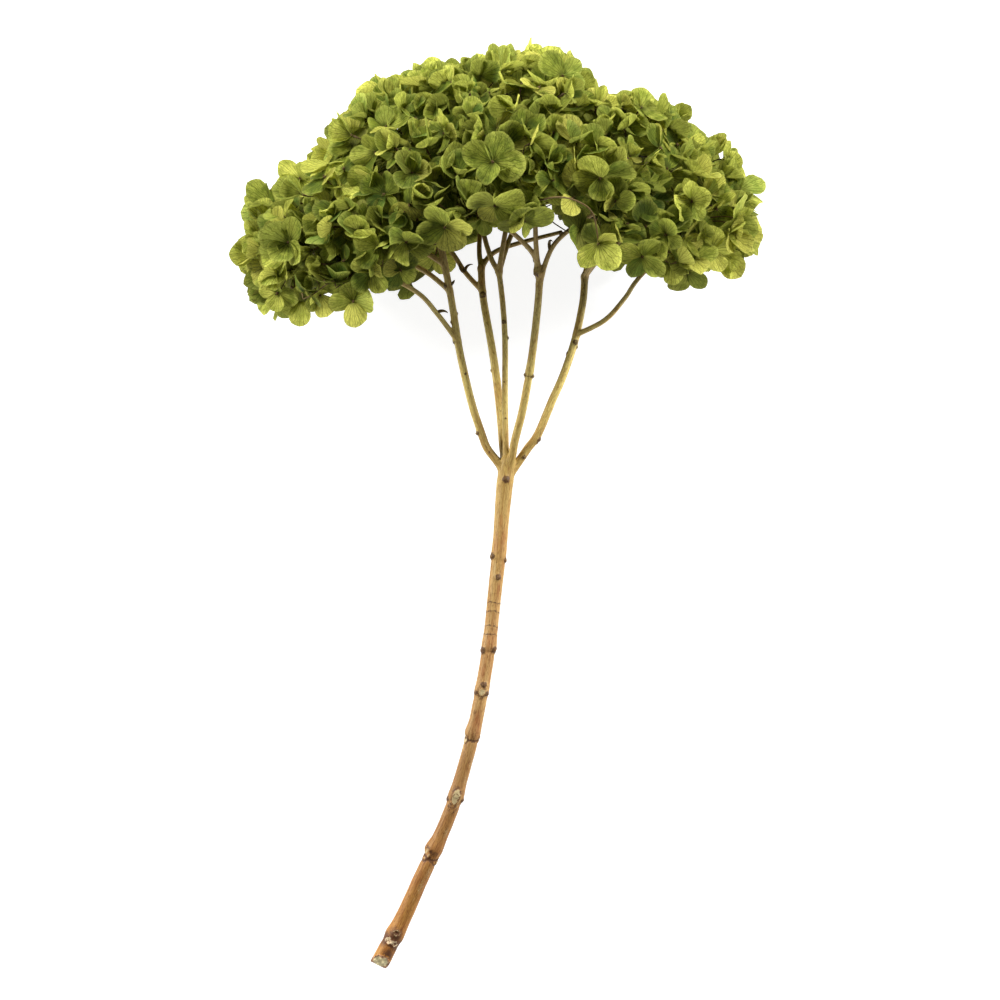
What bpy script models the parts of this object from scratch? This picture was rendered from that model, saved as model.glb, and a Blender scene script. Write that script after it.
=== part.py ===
"""Cut hydrangea, dried, lying on its side.

Metres, +Z up, +Y from the cut end to the flower head, z = 0 the surface it lies on. The plant is laid out
in its own frame, in millimetres: u across, v from the fork up into the head, w from its back to its front.
It is then tipped back until it rests on its cut end and on the underside of its head.
"""

import math
import random

import bmesh
import bpy
from mathutils import Matrix, Vector

MM = 0.001
GAP = 0.3                                  # clearance between two pieces that touch
WELD = 0.01 * MM
LEAST_KEPT = 0.9                           # share of its pieces' volume that a sound union keeps
TILT = math.radians(13.5)                  # the plant's axis above the surface
SEED = 11

# Main stem: route from the cut end to the fork, radius against height v, and the heights of its nodes.
STEM_ROUTE = [
    (-64.5, -252, 0), (-52.5, -229, 1), (-43, -208, 3), (-36, -193, 4), (-28, -174, 5), (-23, -158, 5),
    (-17, -136, 6), (-12, -111, 6), (-8.5, -88, 5), (-6, -64, 4), (-4, -46, 3), (-2.5, -26, 1.5),
    (-1, -10, 0.5), (0, 0, 0),
]
STEM_RADII = [
    (-252, 4.8), (-215, 4.1), (-180, 3.8), (-150, 3.5), (-75, 3.5), (-30, 3.8), (-10, 4.2), (0, 4.8),
]
STEM_NODES = (-49, -58, -94, -114, -139, -169, -194, -237)
STEM_STEP = 5.0
SWELLING, SWELLING_LENGTH = 0.7, 3.0
BUD_LENGTH, BUD_RADIUS, BUD_TIP = 3.0, 1.3, 0.3
BUD_LEAN = Vector((0, 1.2, 0))             # buds point up the stem as well as out
FORK_STUB = 21.0                           # how much of each ray is one piece with the stem
STUB_FLARE = 0.5                           # how much thicker a ray is where it leaves the stem

# Rays: each has its route from the fork, its radius at both ends, and the routes of its side stalks.
RAYS = {
    "far_left": {
        "route": [(0, -8, 0), (-4, -1, 0.5), (-10, 7, 1), (-13, 15, 2), (-17, 27, 4), (-21, 43, 6),
                  (-24, 57, 8), (-26, 70, 10), (-28.5, 85, 12), (-33, 108, 14)],
        "radii": (2.0, 1.6),
        "stalks": [
            [(-24.5, 60, 8.5), (-35, 74, 14), (-46, 85, 20), (-72, 98, 32)],
            [(-28.5, 85, 12), (-44, 97, 2), (-72, 108, -30)],
            [(-31, 98, 13), (-47, 108, 12), (-84, 128, 4)],
            [(-33, 108, 14), (-44, 119, 0), (-60, 146, -26)],
            [(-33, 108, 14), (-38, 124, 28), (-46, 142, 46)],
        ],
    },
    "mid_left": {
        "route": [(0, -8, 0), (-1, 0, -1.5), (-2, 9, -4), (-3, 21, -8), (-5, 40, -13), (-8, 60, -19),
                  (-12, 83, -25), (-13, 98, -28)],
        "radii": (2.1, 1.7),
        "stalks": [
            [(-12, 86, -26), (-21, 96, -32), (-30, 109, -42), (-46, 120, -58)],
            [(-13, 98, -28), (-14, 110, -40), (-12, 138, -62)],
            [(-13, 98, -28), (-4, 108, -42), (28, 118, -62)],
        ],
    },
    "middle": {
        "route": [(0, -8, 0), (-0.5, 5, 0), (-1, 30, 0), (-1, 60, -1), (-2, 78, -2), (-4, 95, -2)],
        "radii": (1.5, 1.3),
        "stalks": [
            [(-4, 95, -2), (-10, 108, -4), (-22, 158, -10)],
            [(-4, 95, -2), (-2, 108, 2), (8, 165, 12)],
            [(-4, 95, -2), (5, 120, -12), (30, 160, -24)],
        ],
    },
    "mid_right": {
        "route": [(0, -8, 0), (2, 0, 2), (4, 11, 5), (8, 27, 10), (12, 50, 17), (15, 75, 24), (16, 90, 28),
                  (15.5, 94, 29)],
        "radii": (2.0, 1.6),
        "stalks": [
            [(15.5, 94, 29), (11, 105, 36), (-14, 126, 62)],
            [(15.5, 94, 29), (14, 112, 42), (14, 142, 62)],
            [(16, 88, 27.5), (24, 108, 38), (46, 124, 54)],
        ],
    },
    "far_right": {
        "route": [(0, -8, 0), (5, -1, -1), (10.5, 7, -1.5), (15.5, 14, -2), (22.7, 31, -4), (28, 43, -5),
                  (34, 61, -7), (38, 80, -8), (39, 93, -9)],
        "radii": (2.1, 1.7),
        "stalks": [
            [(35, 64, -7), (49, 71, 0), (59, 82, 6), (66, 92, 10), (86, 112, 12)],
            [(39, 93, -9), (48, 106, 12), (68, 126, 34)],
            [(39, 93, -9), (48, 104, -24), (66, 120, -46)],
            [(39, 93, -9), (44, 115, -8), (56, 150, 0)],
        ],
    },
}
RAY_STEP, STALK_STEP = 14.0, 18.0
STALK_RADII = (1.3, 0.9)
PEDUNCLE_RADIUS = 0.8
KNOB_SHARE = 1.4                           # a fork's swelling, as a share of the radius there

# Head: florets spread evenly over a dome, each belonging to the nearest flower cluster.
DOME_CENTRE = Vector((-2, 85, 0))
DOME_RADII = Vector((129, 118, 100))
RIM_ANGLE = 83.0                           # degrees from the dome's axis to its rim, on average
SIDE_DROOP, LEFT_DROOP = 8.0, 4.0          # how much lower the rim hangs at both sides, and at the left
CLUSTERS = 42
FLORETS = 150
SCATTER = 3.0                              # how far a floret stands off the even spread
BULGE = 5.0                                # how much a cluster's middle stands proud of its edge
CLUSTER_REACH = 28.0                       # from a cluster's middle to its edge
GOLDEN_ANGLE = math.pi * (3 - math.sqrt(5))
FLOOR_CLEARANCE, FLOOR_SOFTNESS = 2.5, 6.0

# Floret: four sepals on a pedicel, which meets the others of its cluster at a hub.
SEPAL_LENGTH = 15.0
LOBE = ((0, 0.62), (21, 0.97), (45, 1.0), (69, 0.97))   # degrees past a notch, share of the length
LEAN = 0.35                                # how far a floret's face turns off the dome's
CUP = (-1.5, 5.0)                          # how far the sepals' tips stand forward of the centre
CENTRE_THICKNESS = 1.4
PEDICEL_RADIUS, BACK_RADIUS = 0.6, 0.8     # at the hub, and at the floret's back
PEDICEL_DEPTH = 22.0                       # from the floret layer down to the hub
HUB_LENGTH, HUB_RADII = 4.0, (1.0, 1.6)

COLOURS = {"stem": (0.42, 0.24, 0.11), "ray": (0.28, 0.22, 0.09), "floret": (0.19, 0.24, 0.05)}
ROUGHNESS = {"stem": 0.7, "ray": 0.65, "floret": 0.8}


def clear_scene():
    for item in list(bpy.data.objects):
        bpy.data.objects.remove(item, do_unlink=True)


def laid(point):
    """A point or direction of the plant's frame, in the axes of the lying plant."""
    return Matrix.Rotation(TILT, 3, "X") @ Vector(point)


def smooth_route(points, step):
    """Points about a step apart on a Catmull-Rom curve through the given ones."""
    points = [Vector(p) for p in points]
    ends = [points[0]] + points + [points[-1]]
    route = []
    for a, b, c, d in zip(ends, ends[1:], ends[2:], ends[3:]):
        count = max(1, round((c - b).length / step))
        for k in range(count):
            t = k / count
            route.append(0.5 * (2 * b + (c - a) * t + (2 * a - 5 * b + 4 * c - d) * t ** 2
                                + (3 * b - a - 3 * c + d) * t ** 3))
    return route + [points[-1]]


def split_route(route, length):
    """A route cut at a length along it: the near part, and the far part after a clearance."""
    walked = [0.0]
    for a, b in zip(route, route[1:]):
        walked.append(walked[-1] + (b - a).length)

    def point_at(distance):
        k = max(k for k in range(len(route) - 1) if walked[k] <= distance)
        return route[k].lerp(route[k + 1], (distance - walked[k]) / (walked[k + 1] - walked[k]))

    near = [p for p, w in zip(route, walked) if w < length - STUB_FLARE]
    far = [p for p, w in zip(route, walked) if w > length + GAP + STUB_FLARE]
    return near + [point_at(length)], [point_at(length + GAP)] + far


def interpolate(table, value):
    for (a, low), (b, high) in zip(table, table[1:]):
        if value <= b:
            return low + (high - low) * max(0.0, (value - a) / (b - a))
    return table[-1][1]


def mesh_object(name, mesh):
    item = bpy.data.objects.new(name, mesh)
    bpy.context.scene.collection.objects.link(item)
    return item


def object_from(name, form):
    mesh = bpy.data.meshes.new(name)
    form.to_mesh(mesh)
    form.free()
    return mesh_object(name, mesh)


def evaluated_copy(name, item):
    """A plain mesh object of what an object's curve or modifiers give, with its caps welded."""
    depsgraph = bpy.context.evaluated_depsgraph_get()
    form = bmesh.new()
    form.from_mesh(bpy.data.meshes.new_from_object(item.evaluated_get(depsgraph)))
    bmesh.ops.remove_doubles(form, verts=form.verts, dist=WELD)
    return object_from(name, form)


def volume(item):
    form = bmesh.new()
    form.from_mesh(item.data)
    amount = form.calc_volume()
    form.free()
    return amount


def union(name, pieces):
    """One closed body from pieces that overlap a little; the pieces are used up.

    The exact solver can lose a piece where several thin rods meet, so the joined volume is checked, and
    such a join is made again with the manifold solver.
    """
    expected = LEAST_KEPT * sum(volume(piece) for piece in pieces)
    for solver in ("EXACT", "MANIFOLD"):
        pieces[0].modifiers.clear()
        for piece in pieces[1:]:
            join = pieces[0].modifiers.new("join", "BOOLEAN")
            join.operation = "UNION"
            join.solver = solver
            join.object = piece
        joined = evaluated_copy(name, pieces[0])
        if volume(joined) > expected:
            break
        bpy.data.objects.remove(joined)
    for piece in pieces:
        bpy.data.objects.remove(piece)
    return joined


def rod(route, radii, level):
    """A round rod along a route, with its own radius at each point; level sets how many sides it has."""
    data = bpy.data.curves.new("rod", "CURVE")
    data.dimensions = "3D"
    data.bevel_depth = MM
    data.bevel_resolution = level
    data.use_fill_caps = True
    line = data.splines.new("POLY")
    line.points.add(len(route) - 1)
    for point, place, radius in zip(line.points, route, radii):
        point.co = (*(place * MM), 1)
        point.radius = radius
    curve = mesh_object("curve", data)
    solid = evaluated_copy("rod", curve)
    bpy.data.objects.remove(curve)
    return solid


def tapered_rod(route, radii, level):
    start, end = radii
    last = len(route) - 1
    return rod(route, [start + (end - start) * k / last for k in range(last + 1)], level)


def knob(place, radius):
    form = bmesh.new()
    bmesh.ops.create_icosphere(form, subdivisions=1, radius=radius * MM)
    bmesh.ops.translate(form, verts=form.verts, vec=place * MM)
    return object_from("knob", form)


def cone(base, axis, length, radii):
    form = bmesh.new()
    bmesh.ops.create_cone(form, cap_ends=True, segments=6, radius1=radii[0] * MM, radius2=radii[1] * MM,
                          depth=length * MM)
    bmesh.ops.translate(form, verts=form.verts, vec=(0, 0, length * MM / 2))
    turn = axis.to_track_quat("Z", "Y").to_matrix().to_4x4()
    bmesh.ops.transform(form, verts=form.verts, matrix=Matrix.Translation(base * MM) @ turn)
    return object_from("cone", form)


def stem_radius(height):
    swelling = sum(math.exp(-((height - node) / SWELLING_LENGTH) ** 2) for node in STEM_NODES)
    return interpolate(STEM_RADII, height) + SWELLING * swelling


def stem_buds(route):
    """A pair of small buds at each node, turned a quarter from one node to the next."""
    buds = []
    for k, height in enumerate(STEM_NODES):
        place = min(route, key=lambda p: abs(p.y - height))
        out = Vector((1, 0, 0)) if k % 2 == 0 else Vector((0, 0, 1))
        for side in (-out, out):
            base = place + side * (stem_radius(height) - BUD_RADIUS)
            buds.append(cone(laid(base), laid(side + BUD_LEAN), BUD_LENGTH, (BUD_RADIUS, BUD_TIP)))
    return buds


def main_stem(ray_routes):
    """The woody stem with its buds, and the first stretch of each ray."""
    route = smooth_route(STEM_ROUTE, STEM_STEP)
    pieces = [rod([laid(p) for p in route], [stem_radius(p.y) for p in route], 4)]
    pieces += stem_buds(route)
    for name, ray in RAYS.items():
        near, _ = split_route(ray_routes[name], FORK_STUB)
        pieces.append(tapered_rod(near, (ray["radii"][0] + STUB_FLARE, ray["radii"][0]), 2))
    return union("main_stem", pieces)


def ray_with_stalks(name, route, stalks, clusters):
    """A ray, its side stalks, and the peduncle to each cluster that its stalks carry."""
    radii = RAYS[name]["radii"]
    _, far = split_route(route, FORK_STUB)
    pieces = [tapered_rod(far, radii, 2), knob(far[-1], radii[1] * KNOB_SHARE)]
    for stalk in stalks:
        pieces.append(tapered_rod(stalk, STALK_RADII, 1))
        pieces.append(knob(stalk[-1], STALK_RADII[1] * KNOB_SHARE))
    for cluster in clusters:
        peduncle = [cluster["foot"], cluster["hub"] - cluster["axis"] * GAP]
        pieces.append(tapered_rod(peduncle, (PEDUNCLE_RADIUS, PEDUNCLE_RADIUS), 1))
    return union(f"ray_{name}", pieces)


def dome_direction(index, count):
    """The index-th of count directions spread evenly over the dome by the golden angle."""
    around = index * GOLDEN_ANGLE
    rim = math.radians(RIM_ANGLE + SIDE_DROOP * math.cos(2 * around) - LEFT_DROOP * math.cos(around))
    down = 1 - (index + 0.5) / count * (1 - math.cos(rim))
    out = math.sqrt(1 - down * down)
    return Vector((out * math.cos(around), down, out * math.sin(around)))


def dome_normal(direction):
    return Vector([d / r for d, r in zip(direction, DOME_RADII)]).normalized()


def settled(place, normal, floor):
    """A floret's place and facing, eased up where the head's underside lies on the floor."""
    soft_from = floor + FLOOR_CLEARANCE + FLOOR_SOFTNESS
    if place.z >= soft_from:
        return place, normal
    slope = math.exp((place.z - soft_from) / FLOOR_SOFTNESS)
    place = Vector((place.x, place.y, floor + FLOOR_CLEARANCE + FLOOR_SOFTNESS * slope))
    return place, Vector((normal.x * slope, normal.y * slope, normal.z)).normalized()


def scattered(amount, draws):
    return Vector([draws.uniform(-amount, amount) for _ in range(3)])


def lay_out_clusters(floor, draws):
    """The flower clusters: for each, its florets' places and facings, and the mean of both."""
    centres = [DOME_CENTRE + DOME_RADII * dome_direction(k, CLUSTERS) for k in range(CLUSTERS)]
    clusters = [{"florets": []} for _ in centres]
    for k in range(FLORETS):
        direction = dome_direction(k, FLORETS)
        place = DOME_CENTRE + DOME_RADII * direction + scattered(SCATTER, draws)
        normal = dome_normal(direction)
        nearest = min(range(CLUSTERS), key=lambda c: (centres[c] - place).length)
        edge = (centres[nearest] - place).length / CLUSTER_REACH
        place += normal * BULGE * (0.5 - edge * edge)
        clusters[nearest]["florets"].append(settled(laid(place), laid(normal), floor))
    for cluster in clusters:
        places, normals = zip(*cluster["florets"])
        cluster["middle"] = sum(places, Vector()) / len(places)
        cluster["normal"] = sum(normals, Vector()).normalized()
    return clusters


def hang_clusters(clusters, stalks):
    """Give each cluster its hub, and the ray and the stalk end nearest to that hub."""
    ends = [(name, stalk[-1]) for name in stalks for stalk in stalks[name]]
    for cluster in clusters:
        hub = cluster["middle"] - cluster["normal"] * PEDICEL_DEPTH
        cluster["ray"], cluster["foot"] = min(ends, key=lambda end: (end[1] - hub).length)
        cluster["axis"] = (hub - cluster["foot"]).normalized()
        cluster["hub"] = hub


def floret(place, normal, hub, neighbours, floor, draws):
    """Four cupped sepals and their pedicel, lofted as one closed form from the hub to the sepals' edge.

    Each point of the edge is drawn in towards the floret's centre where it would pass halfway to a
    neighbour's centre, so that no two florets meet.
    """
    stalk = (place - hub).normalized()
    facing = (normal + stalk + scattered(LEAN, draws)).normalized()
    if place.z < floor + FLOOR_CLEARANCE + FLOOR_SOFTNESS:
        facing = (facing + normal).normalized()
    first = facing.orthogonal().normalized()
    second = facing.cross(first)
    spin = draws.uniform(0, math.pi / 2)
    rings = {"hub": [], "back": [], "edge": []}
    for sepal in range(4):
        turn = spin + sepal * math.pi / 2
        notch = first * math.cos(turn) + second * math.sin(turn)
        across = notch - stalk * notch.dot(stalk)
        rings["back"].append(place - facing * CENTRE_THICKNESS / 2 + notch * BACK_RADIUS)
        rings["hub"].append(hub + (stalk + across.normalized()) * PEDICEL_RADIUS)
        cup = draws.uniform(*CUP)
        for angle, share in LOBE:
            at = turn + math.radians(angle)
            reach = (first * math.cos(at) + second * math.sin(at)) * SEPAL_LENGTH * share
            reach += facing * cup * share * share
            for other in neighbours:
                gap = other - place
                limit = (gap.length - 2 * GAP) / 2
                along = reach.dot(gap.normalized())
                if along > limit:
                    reach *= limit / along
            point = place + reach
            point.z = max(point.z, floor)
            rings["edge"].append(point)
    return loft(rings, place + facing * CENTRE_THICKNESS / 2)


def loft(rings, front):
    """Faces from a pedicel's square foot, by the square back of the floret, to the edge and the front."""
    form = bmesh.new()
    foot, back, edge = ([form.verts.new(p * MM) for p in rings[name]] for name in ("hub", "back", "edge"))
    tip = form.verts.new(front * MM)
    form.faces.new(foot)
    per_lobe = len(LOBE)
    for k in range(4):
        after = (k + 1) % 4
        form.faces.new((foot[k], foot[after], back[after], back[k]))
        lobe = [edge[(k * per_lobe + j) % len(edge)] for j in range(per_lobe + 1)]
        middle = per_lobe // 2
        form.faces.new((back[k], back[after], lobe[middle]))
        for j in range(per_lobe):
            root = back[k] if j < middle else back[after]
            form.faces.new((root, lobe[j], lobe[j + 1]))
            form.faces.new((tip, lobe[j], lobe[j + 1]))
    bmesh.ops.recalc_face_normals(form, faces=form.faces)
    return object_from("floret", form)


def cyme(name, cluster, places, floor, draws):
    """A flower cluster: its florets on pedicels that meet at a short swollen hub."""
    hub, axis = cluster["hub"], cluster["axis"]
    pieces = [cone(hub, axis, HUB_LENGTH, HUB_RADII)]
    for place, normal in cluster["florets"]:
        neighbours = [other for other in places if 0 < (other - place).length < 2.5 * SEPAL_LENGTH]
        start = hub + axis * HUB_LENGTH / 2
        pieces.append(floret(place, normal, start, neighbours, floor, draws))
    return union(name, pieces)


def finish(item, kind):
    """Give a piece its own material, and put it in the plant's collection."""
    look = bpy.data.materials.new(item.name)
    look.use_nodes = True
    shader = look.node_tree.nodes["Principled BSDF"]
    shader.inputs["Base Color"].default_value = (*COLOURS[kind], 1)
    shader.inputs["Roughness"].default_value = ROUGHNESS[kind]
    item.data.materials.clear()
    item.data.materials.append(look)
    bpy.context.scene.collection.objects.unlink(item)
    bpy.data.collections["cut_hydrangea"].objects.link(item)


def centre_over_origin(items):
    """Move the whole plant so that the middle of its underside is the origin."""
    corners = [vertex.co for item in items for vertex in item.data.vertices]
    low = Vector([min(c[k] for c in corners) for k in range(3)])
    high = Vector([max(c[k] for c in corners) for k in range(3)])
    for item in items:
        item.location = -Vector(((low.x + high.x) / 2, (low.y + high.y) / 2, low.z))


def main():
    clear_scene()
    bpy.context.scene.collection.children.link(bpy.data.collections.new("cut_hydrangea"))
    draws = random.Random(SEED)
    routes = {name: [laid(p) for p in smooth_route(ray["route"], RAY_STEP)] for name, ray in RAYS.items()}
    stalks = {name: [[laid(p) for p in smooth_route(points, STALK_STEP)] for points in ray["stalks"]]
              for name, ray in RAYS.items()}
    stem = main_stem(routes)
    floor = min(vertex.co.z for vertex in stem.data.vertices) / MM
    clusters = lay_out_clusters(floor, draws)
    hang_clusters(clusters, stalks)
    places = [place for cluster in clusters for place, _ in cluster["florets"]]
    items = [stem]
    finish(stem, "stem")
    for name in RAYS:
        carried = [cluster for cluster in clusters if cluster["ray"] == name]
        ray = ray_with_stalks(name, routes[name], stalks[name], carried)
        finish(ray, "ray")
        items.append(ray)
        for k, cluster in enumerate(carried, 1):
            flowers = cyme(f"cyme_{name}_{k:02d}", cluster, places, floor, draws)
            finish(flowers, "floret")
            items.append(flowers)
    centre_over_origin(items)


main()
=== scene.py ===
"""Cut hydrangea, dried, lying on its side: the looks of the plant that part.py builds.

Lengths are in millimetres until a mesh is made. The plant has its own axes, as in part.py: u across, v from
the fork up into the head, w from its back to its front, which faces up here.
"""

import itertools
import math
import random

import bmesh
import bpy
import numpy as np
from mathutils import Matrix, Vector
from mathutils.bvhtree import BVHTree


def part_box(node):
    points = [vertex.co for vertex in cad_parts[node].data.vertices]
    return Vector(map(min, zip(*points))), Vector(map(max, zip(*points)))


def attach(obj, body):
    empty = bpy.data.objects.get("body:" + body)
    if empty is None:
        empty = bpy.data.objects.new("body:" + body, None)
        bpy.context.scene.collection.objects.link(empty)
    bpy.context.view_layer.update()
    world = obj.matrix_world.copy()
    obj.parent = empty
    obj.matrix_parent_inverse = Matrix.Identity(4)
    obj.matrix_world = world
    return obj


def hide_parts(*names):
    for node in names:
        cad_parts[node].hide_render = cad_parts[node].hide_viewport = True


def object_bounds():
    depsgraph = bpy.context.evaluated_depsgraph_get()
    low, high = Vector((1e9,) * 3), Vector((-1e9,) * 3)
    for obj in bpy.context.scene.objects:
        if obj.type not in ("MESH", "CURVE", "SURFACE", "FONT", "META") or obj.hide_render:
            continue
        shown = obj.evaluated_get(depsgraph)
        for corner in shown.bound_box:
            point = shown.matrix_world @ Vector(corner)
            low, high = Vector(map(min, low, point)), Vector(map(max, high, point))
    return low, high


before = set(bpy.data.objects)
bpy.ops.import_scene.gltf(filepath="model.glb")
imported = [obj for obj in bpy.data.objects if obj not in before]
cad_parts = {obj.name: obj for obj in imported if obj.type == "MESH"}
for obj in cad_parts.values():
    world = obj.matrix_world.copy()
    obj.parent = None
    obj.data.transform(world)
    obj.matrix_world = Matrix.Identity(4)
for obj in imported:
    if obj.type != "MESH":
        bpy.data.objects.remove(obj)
cad_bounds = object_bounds()

MM = 0.001
SEED = 7
TILT = math.radians(13.5)                      # the plant's axis above the surface
AXES = np.array(Matrix.Rotation(TILT, 3, "X"))  # its columns are the plant's u, v and w
FORK_FROM_CORNER = (68.71, 247.54, 63.49)      # from the low corner of the stem's box
FORK = np.array(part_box("main_stem")[0]) / MM + FORK_FROM_CORNER
HEAD_CENTRE = np.array((-2.0, 85.0, 0.0))

# The woody limbs' routes and radii, as in part.py.
STEM_ROUTE = [
    (-64.5, -252, 0), (-52.5, -229, 1), (-43, -208, 3), (-36, -193, 4), (-28, -174, 5), (-23, -158, 5),
    (-17, -136, 6), (-12, -111, 6), (-8.5, -88, 5), (-6, -64, 4), (-4, -46, 3), (-2.5, -26, 1.5),
    (-1, -10, 0.5), (0, 0, 0),
]
STEM_RADII = [
    (-252, 4.6), (-215, 3.9), (-180, 3.6), (-150, 3.4), (-75, 3.4), (-30, 3.7), (-10, 4.2), (0, 3.6),
]
RAYS = {
    "far_left": {
        "route": [(0, -8, 0), (-4, -1, 0.5), (-10, 7, 1), (-13, 15, 2), (-17, 27, 4), (-21, 43, 6),
                  (-24, 57, 8), (-26, 70, 10), (-28.5, 85, 12), (-33, 108, 14)],
        "radii": (2.1, 1.7),
        "stalks": [
            [(-24.5, 60, 8.5), (-35, 74, 14), (-46, 85, 20), (-72, 98, 32)],
            [(-28.5, 85, 12), (-44, 97, 2), (-72, 108, -30)],
            [(-31, 98, 13), (-47, 108, 12), (-84, 128, 4)],
            [(-33, 108, 14), (-44, 119, 0), (-60, 146, -26)],
            [(-33, 108, 14), (-38, 124, 28), (-46, 142, 46)],
        ],
    },
    "mid_left": {
        "route": [(0, -8, 0), (-1, 0, -1.5), (-2, 9, -4), (-3, 21, -8), (-5, 40, -13), (-8, 60, -19),
                  (-12, 83, -25), (-13, 98, -28)],
        "radii": (2.2, 1.8),
        "stalks": [
            [(-12, 86, -26), (-21, 96, -32), (-30, 109, -42), (-46, 120, -58)],
            [(-13, 98, -28), (-14, 110, -40), (-12, 138, -62)],
            [(-13, 98, -28), (-4, 108, -42), (28, 118, -62)],
        ],
    },
    "middle": {
        "route": [(0, -8, 0), (-0.5, 5, 0), (-1, 30, 0), (-1, 60, -1), (-2, 78, -2), (-4, 95, -2)],
        "radii": (1.6, 1.4),
        "stalks": [
            [(-4, 95, -2), (-10, 108, -4), (-22, 158, -10)],
            [(-4, 95, -2), (-2, 108, 2), (8, 165, 12)],
            [(-4, 95, -2), (5, 120, -12), (30, 160, -24)],
        ],
    },
    "mid_right": {
        "route": [(0, -8, 0), (2, 0, 2), (4, 11, 5), (8, 27, 10), (12, 50, 17), (15, 75, 24), (16, 90, 28),
                  (15.5, 94, 29)],
        "radii": (2.1, 1.8),
        "stalks": [
            [(15.5, 94, 29), (11, 105, 36), (-14, 126, 62)],
            [(15.5, 94, 29), (14, 112, 42), (14, 142, 62)],
            [(16, 88, 27.5), (24, 108, 38), (46, 124, 54)],
        ],
    },
    "far_right": {
        "route": [(0, -8, 0), (5, -1, -1), (10.5, 7, -1.5), (15.5, 14, -2), (22.7, 31, -4), (28, 43, -5),
                  (34, 61, -7), (38, 80, -8), (39, 93, -9)],
        "radii": (2.2, 1.8),
        "stalks": [
            [(35, 64, -7), (49, 71, 0), (59, 82, 6), (66, 92, 10), (86, 112, 12)],
            [(39, 93, -9), (48, 106, 12), (68, 126, 34)],
            [(39, 93, -9), (48, 104, -24), (66, 120, -46)],
            [(39, 93, -9), (44, 115, -8), (56, 150, 0)],
        ],
    },
}
FORK_STUB = 21.0                               # how much of each ray belongs to the stem's piece
GRAIN_APART = 97                               # between limbs' places in the bark's grain
ROUTE_STEP = 2.5
STALK_RADII = (1.35, 1.0)
LIMB_SIDES = 16
BLEND = 0.45                                   # how widely two limbs run into each other
VOXEL = 0.5
SKIN_ROUNDS = 3
SKIN_REACH, MARK_REACH = 9.0, 6.0              # how far from a limb its skin and its marks are looked up
CUT_DEPTH, CUT_SLOPES = 2.4, (0.15, 0.8)       # the slanting cut's depth at the foot, across and to the front
CUT_WELD, CUT_REACH = 0.2, 12.0                # how near points there are joined, and how far from the foot

# The kinds of scar: how tall and wide each is for its size, and how pale.
SCARS = {
    "scar": (1.2, 0.95, 0.8), "leaf scar": (2.0, 0.8, 0.95), "knot": (1.3, 1.2, 0.45),
    "torn": (0.9, 1.25, 1.0),
}
# The kinds of soft patch: what each makes the bark, how strongly, and how tall and wide it is for its size.
PATCHES = {
    "blush": [("red", 0.55, 2.2, 0.7)],
    "pale": [("pale", 0.42, 1.8, 0.8)],
    "stain": [("dark", 0.42, 1.0, 0.8), ("red", 0.3, 1.5, 1.2)],
    "burn": [("dark", 0.95, 1.0, 0.9), ("red", 0.35, 1.4, 1.2)],
}
# What marks the limbs: (kind, height v, degrees round from +u towards +w, size).
STEM_MARKS = [
    ("bud", -8.8, 84, 2.0), ("fleck", -8.8, 86, 0.7), ("blush", -30, 95, 2.4), ("blush", -38, 60, 2.8),
    ("blush", -42, 120, 2.4),
    ("node", -47, 180, 1.0), ("bud", -47.5, 150, 1.9), ("bud", -48.8, 20, 1.5), ("fleck", -51.5, 70, 0.6),
    ("bud", -57.5, 75, 1.6), ("blush", -63, 60, 1.6), ("bud", -57, 268, 1.5), ("ring", -66, 0, 0.4),
    ("ring", -70.6, 0, 0.95), ("ring", -72.2, 0, 0.45), ("ring", -75, 0, 0.95), ("ring", -82.2, 0, 0.95),
    ("ring", -83.6, 0, 0.45), ("ring", -86.4, 0, 0.9), ("blush", -90, 95, 3.2),
    ("node", -93, 90, 2.0), ("seam", -94, 90, 0.5), ("bud", -94.5, 142, 2.0), ("bud", -93.5, 34, 1.9),
    ("blush", -105, 110, 2.0),
    ("node", -116, 90, 1.5), ("bud", -111, 84, 1.6), ("scar", -114.8, 86, 1.5), ("hood", -117, 88, 3.2),
    ("bud", -115.6, 138, 1.4), ("bud", -115, 38, 1.3), ("scar", -116, 266, 2.0), ("hood", -119, 266, 3.6),
    ("blush", -128, 80, 3.0), ("blush", -132, 60, 3.4),
    ("node", -137, 180, 3.0), ("seam", -138.2, 90, 1.25), ("scar", -138.8, 152, 1.6),
    ("scar", -137.5, 10, 1.2), ("stain", -136.5, 75, 3.4), ("pale", -150, 40, 2.6), ("pale", -158, 50, 2.0),
    ("node", -168, 90, 2.6), ("leaf scar", -167, 88, 2.0), ("eye", -166.6, 88, 1.2), ("hood", -172, 88, 3.4),
    ("hood", -174, 88, 3.8), ("bud", -169, 160, 1.4), ("bud", -168, 14, 1.4), ("scar", -168, 270, 2.0),
    ("hood", -173, 270, 3.6), ("pale", -184, 60, 2.4),
    ("node", -195, 160, 4.0), ("seam", -197.4, 90, 1.3), ("seam", -199.4, 180, 0.9),
    ("knot", -196.5, 142, 2.2), ("scar", -198, 14, 1.2), ("stain", -195, 80, 4.0), ("pale", -211, 60, 3.4),
    ("pale", -204, 50, 3.0), ("crease", -184, 72, 9.0), ("crease", -150, 60, 7.0),
    ("crease", -126, 112, 6.0), ("crease", -212, 96, 7.0), ("fleck", -222, 108, 0.8),
    ("fleck", -228, 112, 1.2), ("fleck", -229.5, 100, 0.7), ("fleck", -224, 78, 0.7),
    ("node", -238, 90, 2.8), ("burn", -236, 84, 4.4), ("burn", -239.5, 142, 4.2), ("burn", -240, 38, 4.2),
    ("burn", -246, 64, 4.2), ("hole", -234.8, 84, 1.15), ("torn", -239.2, 108, 2.1),
    ("torn", -239.6, 64, 1.7), ("scar", -239, 270, 2.6),
]
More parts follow.
